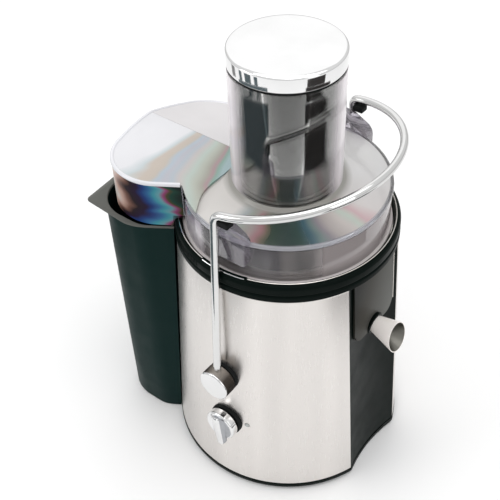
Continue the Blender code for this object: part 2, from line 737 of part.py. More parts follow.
gland_out, gland_place = level(GLAND_ANGLE), Vector((0, 0, GLAND_Z))
cut(steel["far"], cylinder("gland_hole", 7.0, gland_place + gland_out * 85, gland_out, 30, seg=28))
gland_profile = [
    (3.4, 96), (6.6, 96), (6.6, 104.2), (9.0, 104.2), (9.0, 106.4), (6.0, 107.6), (4.6, 119.0), (3.4, 119.0),
]
turned("cord_gland", gland_profile, "rubber", 20, gland_place, gland_out)

# ---------------------------------------------------------------- motor

turned(
    "motor_can",
    [
        (11.4, 32), (CAN_R, 32), (CAN_R, 142.0), (43.2, 142.0), (43.2, 34.4), (20, 34.4), (20, 46),
        (11.4, 46),
    ],
    "iron",
    24,
)
turned(
    "motor_mount",
    [
        (8.4, 142.3), (62, 142.3), (62, 144.8), (14.6, 144.8), (14.6, 150.0), (11.4, 150.0), (11.4, 144.8),
        (8.4, 144.8),
    ],
    "iron",
    24,
)
damper_profile = [(0, 145.1), (7, 145.1), (5.6, 148.2), (7, 151.3), (0, 151.3)]
for n, (x, y) in enumerate(around(54.0, (30, 150, 270)), 1):
    turned(f"motor_damper_{n}", damper_profile, "rubber", 12, (x, y, 0))
turned(
    "motor_stator",
    [
        (27, 76), (29, 70), (38, 70), (39, 76), (42.8, 76), (42.8, 118), (39, 118), (38, 124), (29, 124),
        (27, 118),
    ],
    "copper",
    24,
)
turned(
    "motor_armature",
    [
        (SHAFT_CLEAR, 66), (20, 68), (22, 76), (25.6, 76), (25.6, 118), (22, 118), (20, 125),
        (SHAFT_CLEAR, 127),
    ],
    "copper",
    24,
)
tube("commutator", SHAFT_CLEAR, 12.0, 50.0, 64.0, "copper", 20)
for name, side in (("near", -1), ("far", 1)):
    inner, outer = sorted((side * 12.6, side * 33))
    box(f"brush_holder_{name}", (-4, inner, 52), (4, outer, 62), "grey_plastic")
fan = tube("cooling_fan", SHAFT_CLEAR, 10.0, 128.6, 138.6, "grey_plastic", 20)
join(fan, tube("fan_disc", 9.0, 38.0, 128.6, 130.4, None, 20))
for k in range(8):
    turn = Matrix.Rotation(k * math.pi / 4, 2)
    blade = [turn @ Vector(p) for p in ((9.0, -0.9), (37.0, 4.6), (37.0, 6.4), (9.0, 0.9))]
    join(fan, plate(f"fan_blade_{k + 1}", blade, 129.6, 137.4))
shaft_profile = [(0, 36), (3.4, 36), (SHAFT_R, 37), (SHAFT_R, 185.0), (3.2, 186.4), (0, 186.4)]
turned("motor_shaft", shaft_profile, "bright_steel", 16)
tube("lower_bearing", SHAFT_CLEAR, BEARING_R, 38.0, 45.0, "bright_steel", 20)
tube("upper_bearing", SHAFT_CLEAR, BEARING_R, 145.1, 149.8, "bright_steel", 20)

# ---------------------------------------------------------------- spinning basket

turned(
    "drive_coupling",
    [
        (SHAFT_CLEAR, 168), (11.4, 168), (11.4, 185.6), (7.6, 185.6), (7.6, 193), (0, 193), (0, 187),
        (SHAFT_CLEAR, 187),
    ],
    "black_plastic",
    20,
)
turned(
    "filter_basket",
    [
        (8.0, BASKET_Z0), (47.5, BASKET_Z0), (71.4, 254.0), (74.6, 254.0), (74.6, BASKET_Z1),
        (71.0, BASKET_Z1), (46.6, 187.4), (8.0, 187.4),
    ],
    "bright_steel",
    36,
)
grater_profile = [(8.0, 187.8), (44.0, 187.8), (44.0, 188.6), (40.0, 189.4), (8.0, 189.4)]
turned("grater_disc", grater_profile, "bright_steel", 28)
turned(
    "clamp_nut",
    [(7.9, 189.8), (11, 189.8), (11, 195), (9, 197.6), (0, 197.6), (0, 193.4), (7.9, 193.4)],
    "black_plastic",
    16,
)
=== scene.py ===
"""Looks of the centrifugal juicer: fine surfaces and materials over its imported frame.

Shapes are worked out in millimetres from the body's centre line, and placed in metres in the frame.
+X is the spout side, -Y the switch side, +Z is up. Angles round the body start at +X.
"""

import json
from math import asin, atan2, ceil, cos, degrees, hypot, pi, radians, sin, sqrt, tan

import bmesh
import bpy
from mathutils import Matrix, Vector

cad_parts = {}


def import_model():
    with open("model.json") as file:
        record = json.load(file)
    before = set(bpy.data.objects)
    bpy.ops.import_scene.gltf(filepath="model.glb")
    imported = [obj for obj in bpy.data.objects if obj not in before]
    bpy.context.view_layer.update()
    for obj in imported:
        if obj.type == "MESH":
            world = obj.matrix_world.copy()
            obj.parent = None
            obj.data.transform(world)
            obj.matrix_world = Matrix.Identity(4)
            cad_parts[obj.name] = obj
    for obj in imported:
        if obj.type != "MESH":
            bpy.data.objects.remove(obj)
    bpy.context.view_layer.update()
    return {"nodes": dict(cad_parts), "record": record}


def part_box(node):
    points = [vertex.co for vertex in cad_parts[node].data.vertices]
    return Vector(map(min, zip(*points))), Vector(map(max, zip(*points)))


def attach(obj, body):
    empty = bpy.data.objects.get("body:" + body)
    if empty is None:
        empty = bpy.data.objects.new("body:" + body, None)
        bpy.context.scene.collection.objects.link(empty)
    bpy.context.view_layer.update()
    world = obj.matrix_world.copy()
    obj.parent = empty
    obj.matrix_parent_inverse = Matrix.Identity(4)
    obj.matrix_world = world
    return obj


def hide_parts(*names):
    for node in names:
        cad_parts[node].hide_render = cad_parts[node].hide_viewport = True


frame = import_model()
MM = 0.001
UP = Vector((0, 0, 1))
NEAR = Vector((0, -1, 0))
SIDES = (("near", -1), ("far", 1))

CAP_LOW, CAP_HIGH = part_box("pusher_cap")
AXIS = Vector(((CAP_LOW.x + CAP_HIGH.x) / 2, 0, 0))


def span(node):
    """Lowest and highest corner of a CAD node in millimetres from the centre line."""
    low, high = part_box(node)
    return (low - AXIS) / MM, (high - AXIS) / MM


# ---- sizes, from the frame

low, high = span("steel_wrap_near")
BODY_Z0, BODY_Z1, BODY_HEIGHT = low.z, high.z, high.z - low.z
BODY_R0, BODY_R1 = -low.y, -low.y - 12.4
SEAM = 0.175  # half the gap between the steel and each panel
FRONT_HALF = span("front_panel")[1].y + SEAM
REAR_HALF = span("rear_panel")[1].y + SEAM
FRONT_SCOOP = 4.4
STEEL_T, PANEL_T = 0.9, 2.5
low, high = span("top_ring")
RING_R, RING_Z0, RING_Z1 = high.y, low.z, low.z + 16.4
PAN_R = -span("base_pan")[0].y

low, high = span("lid")
CHUTE_Z0, CHUTE_Z1 = low.z, high.z
LID_Z0, LID_Z1 = 242.2, 280.6
LID_R, LID_BORE = 83.6, 81.4
CHUTE_R, CHUTE_BORE = 44.2, 42
HOOD_BULGE, HOOD_BULGE_HALF = 4.5, 40
HOOD_END = low.x + HOOD_BULGE
HOOD_HALF, HOOD_CORNER = 77.5, 42
HOOD_Z0, HOOD_Z1 = 240, 283
HOOD_FOLD_Y, FOLD_START_X = 2, -60  # where the flat near roof meets the sloping far one
HOOD_SLOPE, ROOF_T = 0.28, 2.2
# The line at which the roof ends and the lid's top begins
HOOD_STEP = [(-44, 2), (-41, -24), (-41.5, -42), (-40, -56), (-36, -66), (-29.5, -77.4)]

low, high = span("pulp_bin")
BIN_TOP, LIP_END = high.z, low.x
BIN_SIDE = Vector((0.838, 0.546)).normalized()
low, high = span("pusher_body")
PUSHER_R, PUSHER_Z0, PUSHER_Z1 = high.y, low.z, high.z
low, high = span("pusher_cap")
CAP_R, CAP_Z0, CAP_Z1 = high.y, low.z, high.z

SPOUT_ROOT, SPOUT_MOUTH = Vector((75, 0, 168.2)), Vector((111, 0, 164.3))
SPOUT_R0, SPOUT_R1, OUTLET_R = 6.6, 13, 9.6
SPOUT_AXIS = (SPOUT_MOUTH - SPOUT_ROOT).normalized()
SPOUT_LENGTH = (SPOUT_MOUTH - SPOUT_ROOT).length
SPOUT_LINE = SPOUT_ROOT, SPOUT_AXIS

low, high = span("pivot_knob_far")
PIVOT = Vector((low.x + high.x, 0, low.z + high.z)) / 2
KNOB_R, KNOB_Y0, KNOB_Y1 = (high.z - low.z) / 2, low.y, high.y
KNURLS, KNURL_DEPTH = 72, 0.14
BAIL_HALF, BAIL_REACH, BAIL_Z, BAIL_RISE, BAIL_X = 91.5, 87, 305, 0.2, 1
ROD_R, ROD_Y = 3.3, 106

low, high = span("switch_washer")
SWITCH = Vector((low.x + high.x, 0, low.z + high.z)) / 2
SWITCH_R, SWITCH_FACE = 14.6, 111
SWITCH_TILT = radians(8)
FEET = [(s * 62, t * 62) for s in (-1, 1) for t in (-1, 1)]
PIN_HOLE_R, LENS_HOLE_R = 5, 2.4
FLOOR_HALF = 3  # metres

SHARP_ANGLE = 32
TINY = 1e-6
CORNER_SHARE = 0.45  # how much of an edge the rounding of a corner may take
NEARLY_STRAIGHT = radians(172)


def body_r(z):
    return BODY_R0 + (BODY_R1 - BODY_R0) * (z - BODY_Z0) / BODY_HEIGHT


def front_x(y, z, hollow=FRONT_SCOOP):
    return sqrt(body_r(z) ** 2 - FRONT_HALF**2) - hollow * (1 - (y / FRONT_HALF) ** 2)


def level(angle):
    return Vector((cos(radians(angle)), sin(radians(angle)), 0))


LENS_LINE = UP * 81, level(-74.6)
GLAND_LINE = UP * 26, level(125)


def spread(start, stop, count):
    return [start + (stop - start) * k / (count - 1) for k in range(count)]


def edge_angle(half, radius):
    return degrees(asin(half / radius))


def arc_points(angles, radius, z):
    return [level(a) * radius + UP * z for a in angles]


def rect(a0, a1, b0, b1):
    return [(a0, b0), (a1, b0), (a1, b1), (a0, b1)]


# ---- material kit


def fill_ramp(node, stops):
    """Sets the (place, colour) stops of a Color Ramp node."""
    elements = node.color_ramp.elements
    while len(elements) < len(stops):
        elements.new(0.5)
    for element, (place, colour) in zip(elements, stops):
        element.position = place
        element.color = (*colour, 1)


class Looks:
    """A node material that is built up step by step on one Principled shader."""

    def __init__(self, name, colour, roughness, metallic=0, **settings):
        self.material = bpy.data.materials.new(name)
        self.material.use_nodes = True
        self.tree = self.material.node_tree
        self.shader = self.tree.nodes["Principled BSDF"]
        self.shader.inputs["Base Color"].default_value = (*colour, 1)
        self.shader.inputs["Roughness"].default_value = roughness
        self.shader.inputs["Metallic"].default_value = metallic
        for key, value in settings.items():
            self.shader.inputs[key.replace("_", " ")].default_value = value
        self.colour = colour
        self.place = self.add("TexCoord").outputs["Object"]

    def add(self, kind, setup=None, **sockets):
        """New shader node with its settings, and with constants on its named sockets."""
        node = self.tree.nodes.new("ShaderNode" + kind)
        for key, value in (setup or {}).items():
            setattr(node, key, value)
        for key, value in sockets.items():
            node.inputs[key.replace("_", " ")].default_value = value
        return node

    def link(self, source, target):
        self.tree.links.new(source, target)

    def math(self, operation, a, b=0):
        node = self.add("Math", {"operation": operation})
        for socket, value in zip(node.inputs, (a, b)):
            if hasattr(value, "links"):
                self.link(value, socket)
            else:
                socket.default_value = value
        return node.outputs[0]

    def plus(self, a, b):
        return self.math("ADD", a, b)

    def times(self, a, b):
        return self.math("MULTIPLY", a, b)

    def noise(self, scale, stretch=(1, 1, 1), detail=4, distortion=0):
        mapping = self.add("Mapping", Scale=stretch)
        self.link(self.place, mapping.inputs["Vector"])
        node = self.add("TexNoise", Scale=scale, Detail=detail, Distortion=distortion)
        self.link(mapping.outputs["Vector"], node.inputs["Vector"])
        return node.outputs["Fac"]

    def ramp(self, factor, stops):
        node = self.add("ValToRGB")
        fill_ramp(node, stops)
        self.link(factor, node.inputs["Fac"])
        return node.outputs["Color"]

    def remap(self, factor, low, high, start=0, stop=1):
        """low to high as the factor goes from start to stop, and level beyond them."""
        node = self.add("MapRange", From_Min=start, From_Max=stop, To_Min=low, To_Max=high)
        self.link(factor, node.inputs["Value"])
        return node.outputs["Result"]

    def share(self, factor, start, stop):
        return self.remap(factor, 0, 1, start, stop)

    def paint(self, factor, stops):
        self.link(self.ramp(factor, stops), self.shader.inputs["Base Color"])

    def vary_colour(self, factor, dark, light):
        self.paint(factor, [(0.3, [c * dark for c in self.colour]),
                            (0.7, [min(1, c * light) for c in self.colour])])

    def vary_roughness(self, factor, low, high):
        self.link(self.remap(factor, low, high, 0.3, 0.7), self.shader.inputs["Roughness"])

    def relief(self, height, strength, distance, shader=None):
        """Bump on the Principled shader, or on another one."""
        node = self.add("Bump", Strength=strength, Distance=distance)
        self.link(height, node.inputs["Height"])
        self.link(node.outputs["Normal"], (shader or self.shader).inputs["Normal"])

    def blend(self, factor, first, second):
        node = self.add("MixShader")
        for socket, source in zip(node.inputs, (factor, first.outputs[0], second.outputs[0])):
            self.link(source, socket)
        return node

    def axes(self):
        """x, y, z from the body's centre line, in metres."""
        node = self.add("SeparateXYZ")
        self.link(self.place, node.inputs[0])
        return self.math("SUBTRACT", node.outputs[0], AXIS.x), node.outputs[1], node.outputs[2]

    def azimuth(self):
        x, y, _ = self.axes()
        return self.math("ARCTAN2", y, x)


def moulded(name, colour, roughness, grain=2600, strength=0.12, shine=0.5):
    """Moulded plastic: fine grain, cloudy gloss and slightly lighter worn patches."""
    mat = Looks(name, colour, roughness, Specular_IOR_Level=shine)
    mat.vary_colour(mat.noise(26), 0.86, 1.16)
    mat.vary_roughness(mat.noise(60), roughness - 0.05, roughness + 0.06)
    mat.relief(mat.noise(grain, detail=2), strength, 0.0002)
    return mat


def brushed(name, colour, roughness, stretch=(1, 1, 60), scale=90, strength=0.05):
    """Drawn or brushed metal: long fine streaks in gloss and height."""
    mat = Looks(name, colour, roughness, 1)
    streaks = mat.noise(scale, stretch, detail=6)
    mat.vary_colour(mat.noise(18), 0.94, 1.05)
    mat.vary_roughness(streaks, roughness - 0.05, roughness + 0.07)
    mat.relief(streaks, strength, 0.0001)
    return mat


def polished(name, colour, roughness, metallic=1):
    """Chrome or gloss plastic: a mirror with faint swirls and finger haze."""
    mat = Looks(name, colour, roughness, metallic)
    mat.vary_colour(mat.noise(30), 0.97, 1.03)
    mat.vary_roughness(mat.noise(45, distortion=1.5), roughness * 0.6, roughness * 1.8)
    mat.relief(mat.noise(14, detail=1), 0.02, 0.0004)
    return mat


# Painted highlight: the white of the roof's lit front.
WHITE_HIGHLIGHT = (72, 72, 74.5)
# Strain colours mixed with painted highlight and painted shade, in per cent, along x in millimetres, on the
# hood's roof and on its side wall. The white on the roof's front is a painted highlight, and the near-black
# on the side wall is painted shade.
ROOF_BANDS = [
    (-143, WHITE_HIGHLIGHT), (-104, WHITE_HIGHLIGHT), (-98, (50, 56, 58)), (-94, (50, 43, 37)), (-88, (48, 42, 36)),
    (-84, (38, 45, 52)), (-80, (43, 43, 48)), (-76, (40, 45, 50)), (-71, (50, 46, 45)),
    (-64, (44, 52, 47)), (-58, (42, 44, 38)), (-51, (33, 32, 27)), (-47, (36, 23, 25)),
    (-43, (20, 34, 28)), (-38, (30, 42, 44)),
]
WALL_BANDS = [
    (-143, (66, 63, 61)), (-124, (58, 53, 49)), (-115, (44, 29, 24)), (-108, (16, 8, 6)),
    (-102, (2, 1.2, 1.5)), (-95, (2, 1, 3)), (-90, (1.5, 4, 16)), (-85, (3, 12, 27)), (-80, (5, 27, 33)),
    (-76, (12, 30, 34)), (-72, (26, 5, 15)), (-69, (6, 5, 2)), (-66, (0.5, 4.5, 3)),
    (-59, (0.2, 1.2, 0.9)),
]
# Strain colours with painted shade and painted light of the inside under the lid, in per cent, round the
# top of the lid, by angle in degrees
DOME_BANDS = [
    (-180, (62, 62, 58)), (-135, (70, 67, 64)), (-98, (74, 71, 68)), (-90, (42, 46, 47)),
    (-83, (33, 36, 31)), (-77, (36, 29, 28)), (-73, (36, 17, 19)), (-69, (16, 13, 9)), (-65, (2, 5, 3)),
    (-54, (2, 4.5, 4)), (-46, (2, 6, 5)), (-40, (4, 11, 15)), (-36, (14, 21, 20)), (-31, (27, 24, 27)),
    (-26, (44, 40, 38)), (-16, (60, 54, 52)), (-10, (52, 60, 53)), (-4, (60, 40, 42)), (4, (68, 64, 63)),
    (40, (74, 73, 73)), (180, (62, 62, 60)),
]
# The lid's colour beside the chute, in shares
DOME_MIDDLE = (0.34, 0.33, 0.3)
# The roof's bands lean like the ribs of a fan about this point, in metres
FAN_X, FAN_Y = -0.088, -0.035


def per_cent(colour):
    return [c / 100 for c in colour]


def along_x(bands, waver, stretch=(1, 1, 1), fan=0):
    """Colour bands across x whose borders waver, more or less spread like a fan."""

    def colour(mat):
        x, y, _ = mat.axes()
        lean = mat.times(mat.plus(y, -FAN_Y), mat.plus(x, -FAN_X))
        x = mat.plus(x, mat.times(lean, fan))
        first, last = bands[0][0] * MM, bands[-1][0] * MM
        swirl = mat.noise(16, stretch, detail=1, distortion=0.8)
        shift = mat.remap(swirl, -waver, waver, 0.25, 0.75)
        place = mat.share(mat.plus(x, shift), first, last)
        return mat.ramp(place, [((x0 * MM - first) / (last - first), per_cent(c)) for x0, c in bands])

    return colour


def dome_tone(mat):
    """Colour bands round the centre line whose borders waver, and one colour near the chute."""
    swirl = mat.noise(20, detail=1, distortion=0.8)
    shift = mat.remap(swirl, -0.05, 0.05, 0.25, 0.75)
    place = mat.share(mat.plus(mat.azimuth(), shift), -pi, pi)
    around = mat.ramp(place, [((angle + 180) / 360, per_cent(c)) for angle, c in DOME_BANDS])
    x, y, _ = mat.axes()
    reach = mat.math("SQRT", mat.plus(mat.math("POWER", x, 2), mat.math("POWER", y, 2)))
    mix = mat.add("Mix", {"data_type": "RGBA"})
    mat.link(mat.remap(reach, 1, 0, 0.046, 0.052), mix.inputs["Factor"])
    mat.link(around, mix.inputs["A"])
    mix.inputs["B"].default_value = (*DOME_MIDDLE, 1)
    return mix.outputs["Result"]


def clear_plastic(name, tint, haze=0.06, colour=(0.85, 0.85, 0.86), gloss=1, shine=0.5, edge=None):
    """Thin clear plastic: it lets light straight through, mirrors by Fresnel and holds some haze.

    haze is a share and colour a colour, or either is a function that builds one.
    edge gives the two facing values between which it turns milky, and the haze it reaches."""
    mat = Looks(name, (1, 1, 1) if callable(colour) else colour, 0.35, Specular_IOR_Level=shine)
    mat.vary_roughness(mat.noise(50), 0.28, 0.42)
    if callable(colour):
        mat.link(colour(mat), mat.shader.inputs["Base Color"])
    if callable(haze):
        cloud = haze(mat)
    else:
        cloud = mat.remap(mat.noise(12), haze * 0.85, haze * 1.15)
    if edge:
        start, stop, amount = edge
        facing = mat.add("LayerWeight").outputs["Facing"]
        cloud = mat.math("MAXIMUM", cloud, mat.remap(facing, 0, amount, start, stop))
    through = mat.add("BsdfTransparent", Color=(*tint, 1))
    mirror = mat.add("BsdfGlossy", Roughness=0.03, Color=(1, 1, 1, 1))
    mat.relief(mat.noise(22, detail=2), 0.05, 0.001, mirror)
    fresnel = mat.add("Fresnel", IOR=1.52)
    hazy = mat.blend(cloud, through, mat.shader)
    surface = mat.blend(mat.times(fresnel.outputs[0], gloss), hazy, mirror)
    mat.link(surface.outputs[0], mat.tree.nodes["Material Output"].inputs["Surface"])
    return mat


# ---- materials


def steel_looks():
    """Satin sheet, brushed upwards, with broad soft streaks round the body."""
    mat = Looks("satin_steel", (0.74, 0.71, 0.685), 0.3, 1)
    mat.vary_colour(mat.noise(24, (1, 1, 0.02), detail=2), 0.92, 1.09)
    brush = mat.noise(22, (60, 60, 1), detail=5)
    mat.vary_roughness(brush, 0.26, 0.36)
    mat.relief(brush, 0.015, 0.0001)
    return mat


def badge_looks():
    """Warm grey metallic paint with a painted reflection across it, darkest at its upper near corner."""
    mat = Looks("badge_metallic", (0.09, 0.085, 0.08), 0.42, 0.1, Specular_IOR_Level=0.1)
    _, y, z = mat.axes()
    # Painted reflection: dark at the upper near corner, lighter to the far side and below.
    shade = mat.share(mat.plus(y, mat.times(z, -0.45)), -0.126, -0.05)
    mat.paint(shade, [(0, (0.004, 0.005, 0.004)), (0.35, (0.04, 0.038, 0.032)), (1, (0.125, 0.128, 0.12))])
    mat.relief(mat.noise(5200, detail=1), 0.1, 0.0001)
    return mat


def mesh_looks():
    """Steel mesh: rows of small round holes on a cone."""
    mat = brushed("basket_mesh", (0.55, 0.56, 0.53), 0.28)
    _, _, z = mat.axes()
    columns = mat.math("SINE", mat.times(mat.azimuth(), 190))
    rows = mat.math("SINE", mat.times(z, 3300))
    holes = mat.math("GREATER_THAN", mat.times(columns, rows), 0.42)
    mat.link(mat.math("SUBTRACT", 1, holes), mat.shader.inputs["Alpha"])
    return mat


def copper_looks():
    """Enamelled copper windings."""
    mat = Looks("copper_winding", (0.62, 0.27, 0.12), 0.34, 1)
    mat.vary_colour(mat.noise(40), 0.75, 1.15)
    mat.relief(mat.math("SINE", mat.times(mat.azimuth(), 240)), 0.6, 0.0004)
    return mat


def knob_looks():
    """Knurled brown-grey steel with a painted reflection: dark over its lower half, light at its top and at
    its lowest edge.
    """
    mat = brushed("knob_band_steel", (0.3, 0.27, 0.24), 0.34, (1, 60, 1), 40, 0.3)
    _, _, z = mat.axes()
    height = mat.share(z, (PIVOT.z - KNOB_R) * MM, (PIVOT.z + KNOB_R) * MM)
    # Painted reflection by height: light at the top and at the lowest edge, dark below the middle.
    mat.paint(height, [(0, (0.25, 0.25, 0.25)), (0.18, (0.015, 0.01, 0.01)), (0.6, (0.03, 0.025, 0.02)),
                       (0.85, (0.07, 0.06, 0.052)), (1, (0.34, 0.31, 0.28))])
    return mat


def dial_looks():
    """Satin metal with a painted highlight: bright on the rear side of the grip and grey on the other."""
    mat = brushed("dial_satin", (0.4, 0.41, 0.43), 0.3)
    x, _, _ = mat.axes()
    # Painted highlight on the rear side of the grip and of the face.
    side = mat.share(x, (SWITCH.x - 7) * MM, (SWITCH.x - 4) * MM)
    mat.paint(side, [(0, (0.86, 0.86, 0.87)), (1, mat.colour)])
    return mat


def bin_looks():
    """Dark green-black plastic with a painted highlight on its lip, brightest at its tip."""
    mat = moulded("bin_plastic", (0.0015, 0.0160, 0.0145), 0.46, strength=0.2, shine=0.07)
    x, _, z = mat.axes()
    on_lip = mat.math("GREATER_THAN", z, (BIN_TOP - 2.1) * MM)
    # Painted highlight: the lip is coloured lighter grey, most of all at its far tip.
    lip_highlight = mat.times(on_lip, mat.remap(x, 1, 0.5, LIP_END * MM, -0.15))
    mat.paint(lip_highlight, [(0, mat.colour), (0.4, (0.1, 0.103, 0.095)), (1, (0.2, 0.2, 0.185))])
    return mat


def pipe_looks():
    """Spun steel that is a little cloudy, so it keeps its brightness beside the dark panel."""
    mat = Looks("spout_steel", (0.98, 0.92, 0.88), 0.42)
    turns = mat.noise(60, (1, 40, 40), detail=3)
    mat.vary_colour(mat.noise(30), 0.95, 1.04)
    mat.vary_roughness(turns, 0.34, 0.46)
    mat.relief(turns, 0.03, 0.0001)
    return mat


def frosted_band(mat):
    """Haze of the lid's round wall: thick at its rear near stretch, with streaks elsewhere."""
    turn = mat.azimuth()
    start = mat.share(turn, radians(-150), radians(-138))
    stop = mat.remap(turn, 1, 0, radians(-107), radians(-103))
    speckle = mat.remap(mat.noise(300, detail=3), 0.8, 1, 0.35, 0.65)
    band = mat.times(mat.times(start, stop), speckle)
    streaks = mat.remap(mat.noise(42, (1, 1, 0.2), detail=3, distortion=0.6), 0.03, 0.16, 0.4, 0.7)
    front = mat.times(mat.remap(turn, 0, 0.42, -0.78, -0.6), mat.remap(turn, 1, 0, 1, 1.2))
    return mat.plus(mat.times(band, 0.62), mat.math("MAXIMUM", front, streaks))


def wall_tone(mat):
    """Lavender frost with painted shade under the lid's bead, and pinkish haze towards the spout side."""
    _, _, z = mat.axes()
    # Painted shade: the wall turns darker upwards, just under the bead.
    shade_under_bead = mat.remap(z, 0, 0.8, 0.262, 0.274)
    spout_side = mat.share(mat.azimuth(), -1.1, -1)
    place = mat.math("MAXIMUM", shade_under_bead, spout_side)
    return mat.ramp(place, [(0, (0.68, 0.64, 0.68)), (0.4, (0.56, 0.51, 0.57)), (0.8, (0.34, 0.29, 0.36)),
                            (1, (0.62, 0.55, 0.55))])


def bead_tone(mat):
    """Painted highlight on the camera's side of the lid, and painted shade behind the chute."""
    facing = mat.math("COSINE", mat.plus(mat.azimuth(), radians(80)))
    return mat.ramp(mat.share(facing, -0.35, 0.25), [(0, (0.16, 0.15, 0.14)), (1, (0.62, 0.62, 0.68))])


def solid_kinds():
    return {
        "satin_steel": steel_looks(),
        "bright_steel": brushed("bright_steel", (0.72, 0.69, 0.655), 0.2),
        "knob_band": knob_looks(),
        "dial_face": dial_looks(),
        "spout_steel": pipe_looks(),
        # Painted shade: the spout's bore is the same steel, coloured darker.
        "spout_bore": brushed("spout_bore_steel", (0.2, 0.195, 0.175), 0.34),
        "chrome": polished("chrome", (0.8, 0.8, 0.8), 0.06),
        "rod": polished("rod_chrome", (0.7, 0.7, 0.695), 0.08),
        "black_plastic": moulded("black_plastic", (0.0022, 0.0052, 0.0042), 0.36, shine=0.04),
        "bin_plastic": bin_looks(),
        "gloss_black": polished("gloss_black", (0.006, 0.008, 0.009), 0.05, metallic=0),
        "badge": badge_looks(),
        "grey_plastic": moulded("grey_plastic", (0.2, 0.2, 0.21), 0.5),
        "rubber": moulded("black_rubber", (0.004, 0.005, 0.005), 0.7, 900, 0.3, 0.2),
        "copper": copper_looks(),
        "iron": brushed("motor_iron", (0.32, 0.32, 0.33), 0.45),
        "lens": moulded("frosted_lens", (0.42, 0.44, 0.43), 0.25),
        "mesh": mesh_looks(),
    }


def clear_kinds():
    """Looks of the one clear moulding, region by region."""
    roof, wall = along_x(ROOF_BANDS, 0.006, fan=11.5), along_x(WALL_BANDS, 0.010, (1, 1, 3))
    make = clear_plastic
    return {
        "clear": make("clear_plastic", (0.92, 0.925, 0.92)),
        "roof": make("hood_roof_clear", (0.94, 0.95, 0.97), 0.9, roof, gloss=0.5),
        "far_roof": make("far_roof_clear", (0.95, 0.95, 0.96), 0.86, (0.77, 0.745, 0.755)),
        "lid_wall": make("lid_wall_clear", (0.93, 0.925, 0.92), frosted_band, wall_tone),
        "lid_top": make("lid_top_clear", (0.94, 0.95, 0.94), 0.74, dome_tone, gloss=0.8),
        "flange": make("flange_clear", (0.9, 0.88, 0.86), 0.9, (0.8, 0.74, 0.73), gloss=1.2),
        # Painted shade: the hood's side wall lets only 40 per cent through and its bands are near black.
        "hood_wall": make("hood_wall_clear", (0.4, 0.4, 0.4), 0.92, wall, gloss=0.1, shine=0.1),
        "bead": make("bead_clear", (0.9, 0.91, 0.95), 0.34, bead_tone, gloss=1.5),
        "ridge": make("ridge_clear", (0.95, 0.95, 0.96), 0.85, (0.8, 0.8, 0.84), gloss=1.5),
        "lug": make("lug_clear", (0.88, 0.86, 0.9), 0.14, (0.66, 0.6, 0.7), gloss=1.4,
                    edge=(0.6, 0.9, 0.6)),
        "chute": make("chute_clear", (0.95, 0.95, 0.94), 0.004, (0.86, 0.8, 0.84), gloss=0.85,
                      edge=(0.46, 0.72, 0.82)),
    }


CLEAR_KINDS = clear_kinds()
MATERIALS = {name: mat.material for name, mat in (solid_kinds() | CLEAR_KINDS).items()}
# The CAD slot that a finish stands for, where its name is another
SLOT_OF = dict.fromkeys(CLEAR_KINDS, "clear") | {
    "rod": "chrome", "knob_band": "chrome", "dial_face": "chrome",
    "spout_steel": "bright_steel", "spout_bore": "bright_steel", "mesh": "bright_steel",
}

# ---- shape kit


def to_mesh(shape, name):
    """Mesh in metres, in the frame, from a bmesh in millimetres round the centre line."""
    bmesh.ops.scale(shape, verts=shape.verts, vec=(MM, MM, MM))
    bmesh.ops.translate(shape, verts=shape.verts, vec=AXIS)
    bmesh.ops.recalc_face_normals(shape, faces=shape.faces)
    mesh = bpy.data.meshes.new(name)
    shape.to_mesh(mesh)
    shape.free()
    return mesh


def in_scene(name, data):
    obj = bpy.data.objects.new(name, data)
    bpy.context.scene.collection.objects.link(obj)
    return obj


def shade(mesh, sharp):
    mesh.shade_smooth()
    mesh.set_sharp_from_angle(angle=radians(sharp))


def piece(name, shape, look, *replaces, body="housing", sharp=SHARP_ANGLE):
    """Piece of the visual model. It rides on a CAD body and stands in for the named CAD nodes."""
    mesh = to_mesh(shape, name)
    shade(mesh, sharp)
    mesh.materials.append(MATERIALS[look])
    obj = in_scene(name, mesh)
    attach(obj, body)
    if replaces:
        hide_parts(*replaces)
    return obj


def subtract(obj, shape):
    """Cuts a bmesh, in millimetres, out of a piece and keeps only the result."""
    tool = in_scene("tool", to_mesh(shape, "tool"))
    modifier = obj.modifiers.new("cut", "BOOLEAN")
    modifier.object = tool
    modifier.operation = "DIFFERENCE"
    graph = bpy.context.evaluated_depsgraph_get()
    result = bpy.data.meshes.new_from_object(obj.evaluated_get(graph))
    obj.modifiers.clear()
    obj.data = result
    shade(result, SHARP_ANGLE)
    tool_mesh = tool.data
    bpy.data.objects.remove(tool)
    bpy.data.meshes.remove(tool_mesh)


def drill(obj, radius, low, high, base, along=UP, seg=40):
    """Round hole from one height to another along an axis."""
    subtract(obj, revolve(rect(0, radius, low, high), seg, base, along))


def soften(profile, radius, steps=3):
    """Rounds every corner of a closed flat outline that leaves room for it, except on the axis."""
    out = []
    for k, point in enumerate(profile):
        corner = Vector(point)
        u = Vector(profile[k - 1]) - corner
        v = Vector(profile[(k + 1) % len(profile)]) - corner
        reach = min(radius, u.length * CORNER_SHARE, v.length * CORNER_SHARE)
        u.normalize()
        v.normalize()
        if abs(corner.x) < TINY or u.angle(v) > NEARLY_STRAIGHT:
            out.append(tuple(corner))
            continue
        for t in spread(0, 1, steps + 1):
            out.append(tuple(corner + u * reach * (1 - t) ** 2 + v * reach * t**2))
    return out


